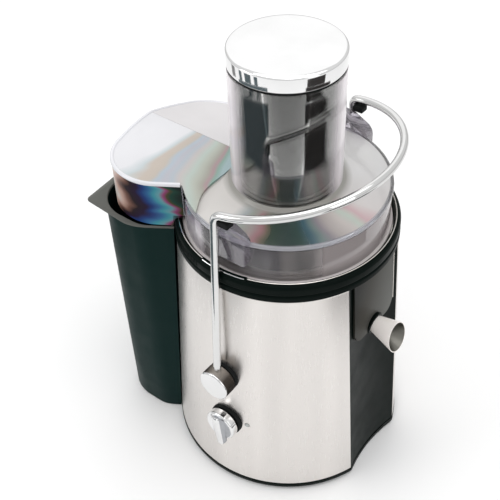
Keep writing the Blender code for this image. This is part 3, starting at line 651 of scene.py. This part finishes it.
def revolve(profile, seg=128, base=(0, 0, 0), along=UP, arc=None):
    """Turned shape from a closed profile of (radius, height). arc limits it to a stretch in degrees."""
    shape = bmesh.new()
    angles = spread(*(arc or (0, 360)), seg + 1)[: None if arc else -1]
    turn = UP.rotation_difference(Vector(along)).to_matrix()
    rows = []
    for radius, height in profile:
        spots = arc_points(angles if radius > TINY else [0], radius, height)
        row = [shape.verts.new(turn @ spot + Vector(base)) for spot in spots]
        rows.append(row if len(row) > 1 else row * len(angles))
    for k, row in enumerate(rows):
        after = rows[(k + 1) % len(rows)]
        for i in range(len(angles) - 1 if arc else len(angles)):
            j = (i + 1) % len(angles)
            corners = list(dict.fromkeys((row[i], row[j], after[j], after[i])))
            if len(corners) > 2:
                shape.faces.new(corners)
    if arc:
        shape.faces.new([row[0] for row in rows])
        shape.faces.new([row[-1] for row in rows])
    return shape


def loft(rings):
    """Skin through rings of equally many points, capped at both ends."""
    shape = bmesh.new()
    rows = [[shape.verts.new(p) for p in ring] for ring in rings]
    shape.faces.new(rows[0])
    shape.faces.new(rows[-1])
    for below, above in zip(rows, rows[1:]):
        for k in range(len(below)):
            shape.faces.new((below[k - 1], below[k], above[k], above[k - 1]))
    return shape


def tube(path, radius, seg):
    """Round rod along an open path of points."""
    path = [Vector(p) for p in path]
    circle = [2 * pi * i / seg for i in range(seg)]
    rings, side = [], None
    for k, point in enumerate(path):
        tangent = (path[min(k + 1, len(path) - 1)] - path[max(k - 1, 0)]).normalized()
        side = side or tangent.orthogonal().normalized()
        side = (side - tangent * side.dot(tangent)).normalized()
        up = tangent.cross(side)
        rings.append([point + (side * cos(a) + up * sin(a)) * radius for a in circle])
    return loft(rings)


def slab(outline, low, high, bevel=0, across="z"):
    """Flat outline with a thickness along z or y, its rims rounded."""
    shape = bmesh.new()
    bottom, top = ([shape.verts.new((a, b, h) if across == "z" else (a, h, b)) for a, b in outline]
                   for h in (low, high))
    rims = [shape.faces.new(bottom), shape.faces.new(top)]
    for k in range(len(outline)):
        shape.faces.new((bottom[k - 1], bottom[k], top[k], top[k - 1]))
    if bevel:
        edges = list({e for face in rims for e in face.edges})
        bmesh.ops.bevel(shape, geom=edges, offset=bevel, segments=3, affect="EDGES", profile=0.5)
    return shape


def merge(shapes):
    """Several separate shapes in one bmesh."""
    whole = bmesh.new()
    for shape in shapes:
        copies = {v: whole.verts.new(v.co) for v in shape.verts}
        for face in shape.faces:
            whole.faces.new([copies[v] for v in face.verts])
        shape.free()
    return whole


def fillet(before, corner, after, radius, steps):
    """Points of the arc that rounds a corner."""
    before, corner, after = Vector(before), Vector(corner), Vector(after)
    u, v = (before - corner).normalized(), (after - corner).normalized()
    half = u.angle(v) / 2
    start, stop = corner + u * radius / tan(half), corner + v * radius / tan(half)
    centre = corner + (u + v).normalized() * radius / sin(half)
    a, b = start - centre, stop - centre
    swept = a.angle(b)
    return [tuple(centre + (a * sin((1 - t) * swept) + b * sin(t * swept)) / sin(swept))
            for t in spread(0, 1, steps)]


def mirrored(half):
    return half + [(x, -y) for x, y in reversed(half) if abs(y) > TINY]


def smooth(points):
    """Points of the Catmull-Rom curve through an open outline."""
    ends = [points[0], *points, points[-1]]
    out = [points[0]]
    for k in range(len(points) - 1):
        a, b, c, d = (Vector(p) for p in ends[k:k + 4])
        for t in spread(0, 1, 7)[1:]:
            out.append(tuple(((b * 2) + (c - a) * t + (a * 2 - b * 5 + c * 4 - d) * t**2
                              + (b * 3 - a - c * 3 + d) * t**3) / 2))
    return out


def dense(points, step):
    """The same open outline with no stretch longer than a step."""
    out = [points[0]]
    for a, b in zip(points, points[1:]):
        a, b = Vector(a), Vector(b)
        pieces = max(1, ceil((b - a).length / step))
        out += [tuple(a.lerp(b, k / pieces)) for k in range(1, pieces + 1)]
    return out


# ---- body


def body_skin():
    for name, side in SIDES:
        rows = []
        for rise in (0, 0.5, 60, 120, 170, BODY_HEIGHT - 0.5, BODY_HEIGHT):
            z = BODY_Z0 + rise
            r = body_r(z) - (0.35 if rise in (0, BODY_HEIGHT) else 0)
            first = edge_angle(FRONT_HALF + SEAM, r)
            last = 180 - edge_angle(REAR_HALF + SEAM, r)
            angles = spread(side * first, side * last, 90)
            rows.append(arc_points(angles, r, z) + arc_points(angles[::-1], body_r(z) - STEEL_T, z))
        sheet = piece(f"steel_{name}", loft(rows), "satin_steel", f"steel_wrap_{name}")
        out = NEAR * -side
        drill(sheet, PIN_HOLE_R, 80, 110, PIVOT, out, 32)
        if name == "near":
            drill(sheet, PIN_HOLE_R, 80, 112, SWITCH, out, 32)
            drill(sheet, LENS_HOLE_R, 90, 112, *LENS_LINE, 24)


def front_panel():
    half = FRONT_HALF - SEAM
    columns = spread(-half, half, 41)
    rows = []
    for z in spread(BODY_Z0, BODY_Z1, 7):
        rows.append([(front_x(y, z), y, z) for y in columns] +
                    [(front_x(y, z) - PANEL_T, y, z) for y in columns[::-1]])
    panel = piece("front_fascia", loft(rows), "black_plastic", "front_panel")
    drill(panel, OUTLET_R, 0, 24, *SPOUT_LINE)


def badge():
    """Plain plate across the hollow of the front panel, with rounded lower corners and a fine rim."""
    low, high = span("badge_plate")
    half, z0, z1 = high.y, low.z, high.z
    radius = 10
    columns = spread(-half, half, 33)

    def foot(y):
        over = max(abs(y) - (half - 1.2 - radius), 0)
        return min(z0 + (radius - sqrt(max(radius**2 - over**2, 0)) if over else 0), z1 - 1)

    rows = []
    for t in (0, 0.004, 0.25, 0.5, 0.75, 0.996, 1):
        lift = 0.1 if t in (0, 1) else 0.5
        heights = [foot(y) + (z1 - foot(y)) * t for y in columns]
        face = [(front_x(y, z, 0) + lift, y, z) for y, z in zip(columns, heights)]
        back = [(front_x(y, z) + 0.35, y, z) for y, z in zip(columns, heights)]
        rows.append(face + back[::-1])
    plate = piece("badge_face", loft(rows), "badge", "badge_plate")
    drill(plate, OUTLET_R, 0, 30, *SPOUT_LINE)
    edge = [(front_x(half + 0.2, z, 0) + 0.55, half + 0.2, z) for z in spread(z0 + radius, z1, 8)]
    piece("badge_edge", tube(edge, 0.45, 10), "bright_steel")


def rear_panel():
    rows = []
    for z in spread(BODY_Z0, BODY_Z1, 5):
        r = body_r(z)
        first = 180 - edge_angle(REAR_HALF - SEAM, r)
        angles = spread(first, 360 - first, 61)
        rows.append(arc_points(angles, r, z) + arc_points(angles[::-1], r - PANEL_T, z))
    piece("rear_fascia", loft(rows), "black_plastic", "rear_panel")
    ribs = [tube(arc_points(spread(166, 194, 18), body_r(z) + 0.25, z), 0.7, 8) for z in spread(60, 96, 7)]
    piece("rear_ribs", merge(ribs), "black_plastic")


def ring():
    r, z = RING_R, RING_Z0
    profile = [
        (77.6, z), (r - 0.4, z), (r, z + 0.5), (r, z + 5), (r - 0.9, z + 5.7), (r - 1.3, z + 6.4),
        (r - 0.3, z + 7.2), (r - 0.2, z + 13.2), (r - 1.1, z + 15.4), (89.8, RING_Z1), (87.2, RING_Z1),
        (87.2, 238.6), (77.6, 238.6),
    ]
    piece("collar_ring", revolve(soften(profile, 0.5), 192), "black_plastic", "top_ring")
    ribs = []
    for a in spread(-150, -104, 34):
        out = level(a)
        sideways = Vector((-out.y, out.x, 0)) * 0.35
        inner, outer = out * (r - 1), out * (r + 0.15)
        foot = [inner - sideways, outer - sideways, outer + sideways, inner + sideways]
        ribs.append(loft([[p + UP * (z + rise) for p in foot] for rise in (7.6, 13)]))
    piece("ring_ribs", merge(ribs), "black_plastic")
    trim = [(r - 4.4, 247.8), (r - 3.6, 247.8), (r - 3.5, 248.3), (r - 4, 248.6), (r - 4.5, 248.3)]
    piece("ring_trim", revolve(trim, 192), "bright_steel")
    tab = [(88, 246.5), (91.2, 246.5), (91.1, 248.9), (90.4, 249.6), (88, 249.6)]
    for name, side in SIDES:
        start, stop = sorted((side * 74, side * 101))
        catch = revolve(soften(tab, 0.4), 28, arc=(start, stop))
        piece(f"ring_catch_{name}", catch, "black_plastic")
        trim = arc_points(spread(start + 1, stop - 1, 24), 90.9, 249.5)
        piece(f"catch_trim_{name}", tube(trim, 0.55, 10), "chrome")


def base():
    profile = [
        (0, 2), (103, 2), (PAN_R - 0.3, 3), (PAN_R, 4), (PAN_R, 7), (104.2, 7.4), (100.6, 7.4), (100.6, 15),
        (98.4, 15), (98.4, 6), (0, 6),
    ]
    pan = piece("pan", revolve(profile, 160), "black_plastic", "base_pan")
    scoop = [(front_x(y, BODY_Z0) + 0.4, y) for y in spread(-FRONT_HALF, FRONT_HALF, 25)]
    subtract(pan, slab([(130, -FRONT_HALF), *scoop, (130, FRONT_HALF)], -1, 20))
    subtract(pan, slab(rect(60, 120, -38, 38), 7.2, 20))
    screws = [level(a) * 71 for a in (63, 183, 303)]
    well = [(0, -1), (3.8, -1), (3.8, 4.6), (2, 4.6), (2, 9), (0, 9)]
    vents = [slab(rect(-30, 30, y - 2, y + 2), 0, 9) for y in (-24, -12, 0, 12, 24)]
    sockets = [revolve(rect(0, 9.4, -1, 4.4), 40, (x, y, 0)) for x, y in FEET]
    subtract(pan, merge(vents + sockets + [revolve(well, 24, place) for place in screws]))
    sole = soften([(0, 0), (8.2, 0), (9, 1.2), (9, 4.1), (0, 4.1)], 0.4)
    for n, (x, y) in enumerate(FEET, 1):
        piece(f"foot_pad_{n}", revolve(sole, 40, (x, y, 0)), "rubber", f"foot_{n}")
    head = soften([(0, 2.4), (3.4, 2.4), (3.4, 4.3), (1.5, 4.3), (1.5, 11), (0, 11)], 0.2)
    for n, place in enumerate(screws, 1):
        screw = piece(f"screw_{n}", revolve(head, 24, place), "bright_steel", f"base_screw_{n}")
        for wide, deep in ((2.2, 0.4), (0.4, 2.2)):
            cross = rect(place.x - wide, place.x + wide, place.y - deep, place.y + deep)
            subtract(screw, slab(cross, 1, 3.3))


# ---- spout


def spout():
    """Flared pipe whose bore is lined with darker steel as painted shade, cut off at a slant, on a black
    seat.
    """
    flare_start, length = 12, SPOUT_LENGTH + 6

    def flare(h):
        share = max(0, (h - flare_start) / (length - flare_start))
        return SPOUT_R0 + (SPOUT_R1 + 1.2 - SPOUT_R0) * share

    heights = [0, 8, flare_start] + spread(14, length, 10)
    slant = Vector((cos(radians(12)), 0, sin(radians(12))))
    for name, rise, thick, *replaced in (("pipe", 0, 0.6, "juice_spout"), ("bore", -0.62, 0.4)):
        skin = [(flare(h) + rise, h) for h in heights]
        skin += [(r - thick, h) for r, h in reversed(skin)]
        look = "spout_steel" if name == "pipe" else "spout_bore"
        pipe = piece(f"spout_{name}", revolve(skin, 96, *SPOUT_LINE), look, *replaced)
        drill(pipe, 40, 0, 30, SPOUT_MOUTH, slant, 32)
    seat = [(7.3, 5), (9.2, 5), (9.2, 14), (10.2, 14.3), (10.2, 14.9), (9.4, 15.5), (8, 15.5)]
    seat = revolve(soften(seat, 0.3), 64, *SPOUT_LINE)
    piece("spout_seat", seat, "black_plastic", "spout_collar")


# ---- lid


def hood_end_x(x, y):
    """Rounds the flat end of the hood outwards."""
    if x > HOOD_END / 2 or abs(y) > HOOD_BULGE_HALF:
        return x
    return x - HOOD_BULGE * (1 - (y / HOOD_BULGE_HALF) ** 2)


def hood_outline(inset=0):
    side, end = HOOD_HALF - inset, HOOD_END + inset
    near = [(-46, -51 + inset), (-89 + inset * 0.3, -side), (end, -side)]
    shoulder = fillet(*near, 40, 12)
    corner = fillet(near[1], near[2], (end, 0), HOOD_CORNER - inset, 18)
    flat_end = [(end, y) for y in spread(corner[-1][1], 0, 12)[1:]]
    return [(hood_end_x(x, y), y) for x, y in mirrored([near[0]] + shoulder + corner + flat_end)]


def roof_z(y):
    return HOOD_Z1 - max(0, y - HOOD_FOLD_Y) * HOOD_SLOPE


def outside(points, radius):
    return [(x, y) for x, y in points if hypot(x, y) > radius]


def hood():
    rim = outside(dense(hood_outline(), 1.6), LID_R - 0.5)
    inner = dense(hood_outline(2.2), 1.6)
    near_inner = [min(inner, key=lambda q, p=p: hypot(q[0] - p[0], q[1] - p[1])) for p in rim]
    feet = [250.6 if hypot(x, y) < 93.9 else HOOD_Z0 for x, y in rim]
    rows = []
    for heights in (feet, [roof_z(y) - 1.2 for _, y in rim]):
        outer_row, inner_row = ([(*p, z) for p, z in zip(side, heights)] for side in (rim, near_inner))
        rows.append(outer_row + inner_row[::-1])
    piece("hood_wall", loft(rows), "hood_wall", "lid")

    fold_end = (hood_end_x(HOOD_END, HOOD_FOLD_Y), HOOD_FOLD_Y)
    over_rim = [(x, y) for x, y, _ in arc_points(spread(-112, -134, 10), 83, 0)]
    near_rim = [p for p in rim if p[1] < HOOD_FOLD_Y - 0.1]
    near_roof = [*smooth(HOOD_STEP), *over_rim, *near_rim, fold_end]
    piece("hood_roof_near", slab(near_roof, HOOD_Z1 - ROOF_T, HOOD_Z1, 0.4), "roof")
    far_rim = [p for p in rim if p[1] > HOOD_FOLD_Y + 0.1]
    plate = slab([fold_end, *far_rim, (FOLD_START_X, HOOD_FOLD_Y)], -ROOF_T, 0)
    for vert in plate.verts:
        vert.co.z += roof_z(vert.co.y)
    piece("hood_roof_far", plate, "far_roof")

    bead = [(x, y, roof_z(y) - 1) for x, y in outside(dense(hood_outline(1), 2), LID_R + 0.4)]
    piece("hood_bead", tube(bead, 1.9, 14), "ridge")
    seam = [(*rim[0], z) for z in spread(251.5, 281, 6)]
    piece("hood_seam", tube(seam, 0.7, 10), "bead")


def lid():
    for name, top, seg, *arc in (("wall", 276.2, 150, -128, 128), ("low_wall", 252.6, 60, 128, 232)):
        wall = rect(LID_BORE, LID_R, LID_Z0 + 2, top)
        piece(f"lid_{name}", revolve(wall, seg, arc=arc), "lid_wall")
    rim = [(LID_BORE, 276.9), (LID_R, 276.6), (84.3, 277.8), (84.5, 279), (84, 280.2), (82.9, LID_Z1),
           (81.2, 280.4), (LID_BORE - 0.4, 278.6)]
    piece("lid_rim", revolve(soften(rim, 0.6), 150, arc=(-123, 134)), "bead")
    top = [(LID_BORE + 0.2, 280.3), (54, 281.2), (47, 282.4), (CHUTE_R, 285), (CHUTE_BORE + 0.4, 285),
           (43.9, 277.6), (54, 278.8), (LID_BORE + 0.2, 278.1)]
    disc = piece("lid_top", revolve(soften(top, 0.5), 150), "lid_top")
    reach = LID_R + 2
    under_roof = [*smooth(HOOD_STEP), (HOOD_STEP[-1][0], -reach), (-reach, -reach), (-reach, reach),
                  (FOLD_START_X, reach), (FOLD_START_X, HOOD_FOLD_Y)]
    subtract(disc, slab(under_roof, 270, 290))
    flange = [(LID_BORE, LID_Z0), (85.8, LID_Z0), (85.8, 244.4), (85.3, 244.9), (LID_R + 0.6, 245.3),
              (LID_R, 246.2), (LID_BORE, 246.2)]
    piece("lid_flange", revolve(soften(flange, 0.4), 192), "flange")
    chute = [(CHUTE_BORE, CHUTE_Z0), (43.9, CHUTE_Z0), (CHUTE_R, 286), (CHUTE_R, CHUTE_Z1 - 0.5),
             (CHUTE_R - 0.5, CHUTE_Z1), (CHUTE_BORE + 0.3, CHUTE_Z1), (CHUTE_BORE, CHUTE_Z1 - 0.3)]
    piece("feed_chute", revolve(chute), "chute")
    ramp = [(-5, 262), (24.5, 262), (24.5, 281), (22.5, 287), (6, 295.4), (-5, 296)]
    for name, side in SIDES:
        low, high = sorted((side * 79.2, side * 88.2))
        piece(f"lid_lug_{name}", slab(soften(ramp, 2, 4), low, high, 0.9, "y"), "lug")


# ---- pusher


def pusher():
    r, z0, z1 = PUSHER_R, PUSHER_Z0, PUSHER_Z1
    cup = [(0, z0), (40.5, z0), (r, z0 + 1), (r, 304.2), (r - 0.3, 304.6), (r - 0.3, 305.2), (r, 305.6),
           (r, z1), (39.5, z1), (39.5, z0 + 2.4), (0, z0 + 2.4)]
    piece("pusher_cup", revolve(cup), "gloss_black", "pusher_body", body="pusher")
    seal = soften(rect(41.9, 43.6, 384.7, 386.4), 0.4)
    piece("pusher_gasket", revolve(seal), "rubber", "pusher_seal", body="pusher")
    r, z0, z1 = CAP_R, CAP_Z0, CAP_Z1
    crown = [(0, z1), (30, z1 - 0.1), (41.2, z1 - 0.35), (43.2, z1 - 0.8), (r - 0.1, z1 - 1.7),
             (r, z1 - 2.8), (r, z0 + 0.6), (r - 0.4, z0), (42, z0), (42, z1 - 4), (0, z1 - 4)]
    piece("pusher_crown", revolve(soften(crown, 0.7), 160), "chrome", "pusher_cap", body="pusher")


# ---- pulp bin


def bin_outline(shoulder, shoulder_radius, corner, corner_radius, end, front):
    """Plan of the bin: hollow front that hugs the body, two sides and a flat back."""
    b = Vector(shoulder)
    along = -b.dot(BIN_SIDE) - sqrt(b.dot(BIN_SIDE) ** 2 - b.length_squared + front**2)
    start = b + BIN_SIDE * along
    near = [tuple(start), *fillet(start, shoulder, corner, shoulder_radius, 12),
            *fillet(shoulder, corner, (end, 0), corner_radius, 18), (end, 0)]
    first = degrees(atan2(start.y, start.x))
    hollow = arc_points(spread(-first, 360 + first, 41)[1:-1], front, 0)
    return mirrored(near) + [(x, y) for x, y, _ in hollow]


def bin_wall(z, inset):
    t = z / BIN_TOP
    side, end, front = 78 + 2.7 * t - inset, -149 - t + inset, 105.5 - 11.9 * t + inset
    outline = bin_outline((-93 + inset * 0.4, -side), 28, (end, -side), 35 - inset, end, front)
    return [(x, y, z) for x, y in outline]


def bin_lip(z, inset=0):
    outline = bin_outline((-99 + inset * 0.4, -84.6 + inset), 34, (-152.6 + inset, -80.6 + inset), 4,
                          LIP_END + inset, 93.35 + inset)
    return [(x, y, z) for x, y in outline]


def pulp_bin():
    """Outer wall upwards, over the lip, and down inside."""
    top = BIN_TOP
    outer = [(0, 2.4), (0.2, 1.3), (0.8, 0.5), (2.2, 0), (60, 0), (140, 0), (top - 2.8, 0),
             (top - 2, 0)]
    lip = [(top - 2, 0.6), (top - 1.6, 0.1), (top - 1, 0), (top - 0.3, 0.1), (top, 0.6)]
    inner = [(top, 1.6), (top - 0.5, 2), (top - 3, 2), (3.2, 2)]
    rings = [part(z, inset) for part, levels in ((bin_wall, outer), (bin_lip, lip), (bin_wall, inner))
             for z, inset in levels]
    piece("bin_shell", loft(rings), "bin_plastic", "pulp_bin", body="bin", sharp=50)


# ---- bail


def bail_path():
    drop = BAIL_Z - PIVOT.z
    lean, shift = (ROD_Y - BAIL_HALF) / drop, (PIVOT.x - BAIL_X) / drop
    foot = Vector((PIVOT.x + shift * 9, -ROD_Y - lean * 9, PIVOT.z - 9))
    corner = Vector((BAIL_X, -BAIL_HALF, BAIL_Z))
    arc = []
    for a in spread(radians(-82), radians(82), 90):
        reach = BAIL_REACH * cos(a)
        arc.append(Vector((BAIL_X + reach, BAIL_HALF * sin(a), BAIL_Z + BAIL_RISE * reach)))
    near = [foot, foot.lerp(corner, 0.3), foot.lerp(corner, 0.6)]
    near += [Vector(p) for p in fillet(foot, corner, arc[0], 8, 10)]
    return near + arc + [Vector((p.x, -p.y, p.z)) for p in reversed(near)]


def knurl(knob):
    """Fine wave round the rim of a knob."""
    for vert in knob.verts:
        spoke = Vector((vert.co.x - PIVOT.x, 0, vert.co.z - PIVOT.z))
        if spoke.length > KNOB_R - 0.1:
            wave = 1 - cos(KNURLS * atan2(spoke.z, spoke.x))
            vert.co -= spoke.normalized() * KNURL_DEPTH * wave
    return knob


def bail():
    piece("bail_loop", tube(bail_path(), ROD_R, 32), "rod", "bail_rod", body="bail")
    r, low, high = KNOB_R, KNOB_Y0, KNOB_Y1
    band = [(r - 3, low), (r - 0.8, low), (r, low + 0.8), (r, high - 2.6), (r - 0.4, high - 2.2),
            (r - 3, high - 2.2)]
    face = [(0, low + 0.2), (r - 2.8, low + 0.2), (r - 2.8, high - 2.3), (r - 0.3, high - 2.1),
            (r, high - 1.5), (r - 0.2, high - 0.7), (r - 1, high - 0.15), (r - 3, high), (0, high)]
    band, face, washer = soften(band, 0.3), soften(face, 0.3), soften(rect(4.1, 13.8, 92.5, 99.4), 0.5)
    pad = soften([(4.6, 297), (14.4, 297), (14.4, 301.8), (11, 303), (4.6, 301.5)], 1.2)
    for name, side in SIDES:
        out = NEAR * -side
        knob = knurl(revolve(band, 216, PIVOT, out))
        piece(f"knob_band_{name}", knob, "knob_band", f"pivot_knob_{name}", body="bail")
        piece(f"knob_face_{name}", revolve(face, 144, PIVOT, out), "chrome", body="bail")
        piece(f"knob_washer_{name}", revolve(washer, 72, PIVOT, out), "rubber", f"pivot_washer_{name}")
        buffer = slab(pad, *sorted((side * 85.5, side * 93.5)), 0.8, "y")
        piece(f"bail_buffer_{name}", buffer, "rubber", f"bail_pad_{name}", body="bail")


# ---- switch, lens and cord gland


def grip(*sections):
    """Dial grip from sections of depth, half widths at its top and foot, and reach of each."""
    c, s = cos(SWITCH_TILT), sin(SWITCH_TILT)
    rings = []
    for depth, top, foot, rise, drop in sections:
        flat = soften([(-foot, -drop), (foot, -drop), (top, rise), (-top, rise)], min(foot, top) * 0.8, 5)
        y = -SWITCH_FACE - depth
        rings.append([(SWITCH.x + u * c - w * s, y, SWITCH.z + u * s + w * c) for u, w in flat])
    return loft(rings)


def switch():
    def turned(profile, soft, seg=96):
        return revolve(soften(profile, soft), seg, SWITCH, NEAR)

    piece("switch_gasket", turned(rect(3.6, 15.3, 96, 101.9), 0.4, 72), "rubber", "switch_washer")
    r, face = SWITCH_R, SWITCH_FACE
    disc = [(0, 97), (3.1, 97), (3.1, 102.2), (r - 2, 102.2), (r - 0.6, 102.8), (r, 104), (r, face - 1.6),
            (r - 0.7, face - 0.6), (r - 2.4, face - 0.1), (0, face)]
    piece("switch_dial", turned(disc, 0.35), "chrome", "switch_knob", body="switch", sharp=24)
    inlay = [(0, face - 0.4), (r - 1.9, face - 0.4), (r - 2.1, face + 0.15), (0, face + 0.15)]
    piece("switch_inlay", revolve(inlay, 96, SWITCH, NEAR), "dial_face", body="switch")
    flanks = grip((-1.5, 8.6, 4, 11.6, 20), (0.2, 8.2, 3.8, 11.8, 20.3), (2.4, 4, 2.8, 12.5, 20.4))
    piece("switch_grip", flanks, "dial_face", body="switch", sharp=24)
    cap = grip((2.35, 4.05, 2.85, 12.6, 20.5), (3.1, 3.6, 2.6, 12.4, 20.3), (3.4, 2.9, 2, 11.8, 19.7))
    piece("switch_grip_cap", cap, "chrome", body="switch", sharp=24)
    lens = soften([(0, 96), (2, 96), (2, 100.6), (1.2, 101), (0, 101.1)], 0.2)
    piece("lens", revolve(lens, 32, *LENS_LINE), "lens", "indicator_lens")


def cord_gland():
    profile = [(3.4, 96), (6.6, 96), (6.6, 104.2), (9, 104.2), (9, 106.4), (6.4, 107.4)]
    for k in range(5):
        r, h = 6.2 - 0.3 * k, 108.4 + 2.1 * k
        profile += [(r, h), (r, h + 1), (r - 0.9, h + 1.2), (r - 0.9, h + 1.9)]
    profile = soften(profile + [(4.6, 119), (3.4, 119)], 0.3)
    piece("gland", revolve(profile, 48, *GLAND_LINE), "rubber", "cord_gland")


# ---- inside


def basket():
    rim = [(71, 253.4), (74.6, 253.4), (74.6, 256.5), (73.4, 256.5), (71.4, 255.4)]
    piece("basket_rim", revolve(soften(rim, 0.4)), "bright_steel", "filter_basket", body="basket")
    cone = [(47.3, 187.6), (47.9, 187.2), (72, 253.6), (71.4, 253.8)]
    piece("basket_cone", revolve(cone), "mesh", body="basket")
    plate = [(8, 186), (47.5, 186), (48.2, 188.4), (46.6, 187.4), (8, 187.4)]
    piece("basket_floor", revolve(plate, 96), "bright_steel", body="basket")
    disc = [(8, 187.8), (44, 187.8), (44, 188.6), (40, 189.4), (8, 189.4)]
    parts = [revolve(soften(disc, 0.2), 96)]
    for k, radius in enumerate(spread(14, 38, 7)):
        for a in spread(0, 360, 10 + 3 * k)[:-1]:
            parts.append(revolve([(0, 189.2), (1.3, 189.2), (0, 191.4)], 6, level(a + 7 * k) * radius))
    piece("grater", merge(parts), "bright_steel", "grater_disc", body="basket")


def bowl():
    z0 = span("juice_bowl")[0].z
    profile = [
        (77.2, z0), (77.2, 239), (86.8, 239), (86.8, 240.6), (75.2, 240.6), (75.2, 160), (72, 158.4),
        (17, 160), (15.4, 176), (13.4, 176), (13.4, z0),
    ]
    pot = piece("bowl", revolve(soften(profile, 0.5)), "bright_steel", "juice_bowl")
    drill(pot, SPOUT_R0 + 0.4, 0, 16, SPOUT_ROOT - SPOUT_AXIS * 8, SPOUT_AXIS)


def dress_frame():
    """Finishes for the CAD nodes that show as they are."""
    slots = {entry["node"]: entry["material_slot"] for entry in frame["record"]["subparts"]}
    for name, node in frame["nodes"].items():
        node.data.materials.clear()
        node.data.materials.append(MATERIALS[slots[name]])


# ---- stage, light and camera


def floor():
    mesh = bpy.data.meshes.new("floor")
    corners = [(x, y, 0) for x, y in rect(-FLOOR_HALF, FLOOR_HALF, -FLOOR_HALF, FLOOR_HALF)]
    mesh.from_pydata(corners, [], [(0, 1, 2, 3)])
    mat = Looks("pale_floor", (0.93, 0.93, 0.93), 0.6)
    mat.vary_colour(mat.noise(2), 0.99, 1.01)
    mesh.materials.append(mat.material)
    plane = in_scene("floor", mesh)
    plane.location.z = -0.0003


def flags():
    """Cloths on the floor that only mirror rays see, as sectors of two radii and two angles."""
    teal = [(372, 594, -154, -90), (598, 840, -150, -143), (598, 840, -136, -122), (598, 840, -115, -108)]
    for name, colour, sectors in (
        ("dark_flag", (0.010, 0.007, 0.006), [(350, 594, -20, 32), (598, 840, -18, 18)]),
        ("teal_flag", (0.065, 0.090, 0.100), teal),
        ("grey_flag", (0.2, 0.2, 0.2), [(598, 840, -173, -162)]),
    ):
        cloth = merge([revolve(rect(low, high, 0.5, 1.5), 24, arc=arc) for low, high, *arc in sectors])
        flag = in_scene(name, to_mesh(cloth, name))
        flag.data.materials.append(Looks(name, colour, 0.9).material)
        flag.visible_camera = flag.visible_diffuse = flag.visible_shadow = False


def world():
    """White studio that is a little darker round the horizon."""
    studio = bpy.data.worlds.new("studio")
    bpy.context.scene.world = studio
    studio.use_nodes = True
    tree = studio.node_tree
    background = tree.nodes["Background"]
    background.inputs["Strength"].default_value = 0.86
    kinds = ("TexCoord", "SeparateXYZ", "ValToRGB")
    place, split, ramp = (tree.nodes.new("ShaderNode" + kind) for kind in kinds)
    fill_ramp(ramp, [(0, (0.72,) * 3), (0.07, (0.66,) * 3), (0.16, (0.88,) * 3), (0.6, (1,) * 3)])
    tree.links.new(place.outputs["Generated"], split.inputs[0])
    tree.links.new(split.outputs["Z"], ramp.inputs["Fac"])
    tree.links.new(ramp.outputs["Color"], background.inputs["Color"])


def softboxes():
    for name, place, size, power in (
        ("overhead", (0, 0.1, 1.9), (1.6, 1.6), 10),
        ("back_left", (-1.1, 1.2, 1.3), (1.8, 1.35), 3),
        ("front_left", (-1, -1.2, 1), (0.7, 1.1), 5),
        ("right", (1.5, -0.2, 0.9), (0.6, 1.1), 3),
    ):
        data = bpy.data.lights.new(name, "AREA")
        data.shape = "RECTANGLE"
        data.size, data.size_y = size
        data.energy = power
        lamp = in_scene(name, data)
        lamp.location = place
        lamp.rotation_euler = (UP * 0.2 - Vector(place)).to_track_quat("-Z", "Y").to_euler()


def camera():
    data = bpy.data.cameras.new("camera")
    data.lens, data.sensor_width = 68.14, 36
    data.clip_start, data.clip_end = 0.05, 20
    eye = in_scene("camera", data)
    azimuth, pitch, roll = radians(39), radians(42.825), radians(-2.206)
    turn = Matrix.Rotation(azimuth, 4, "Z") @ Matrix.Rotation(pi / 2 - pitch, 4, "X")
    turn = turn @ Matrix.Rotation(roll, 4, "Z")
    eye.matrix_world = Matrix.Translation(AXIS + Vector((0.3464, -0.4782, 0.7489))) @ turn
    bpy.context.scene.camera = eye
    bpy.context.scene.view_settings.view_transform = "Standard"


for build in (dress_frame, body_skin, front_panel, badge, rear_panel, ring, base, spout, hood, lid, pusher,
              pulp_bin, bail, switch, cord_gland, basket, bowl, floor, flags, world, softboxes, camera):
    build()
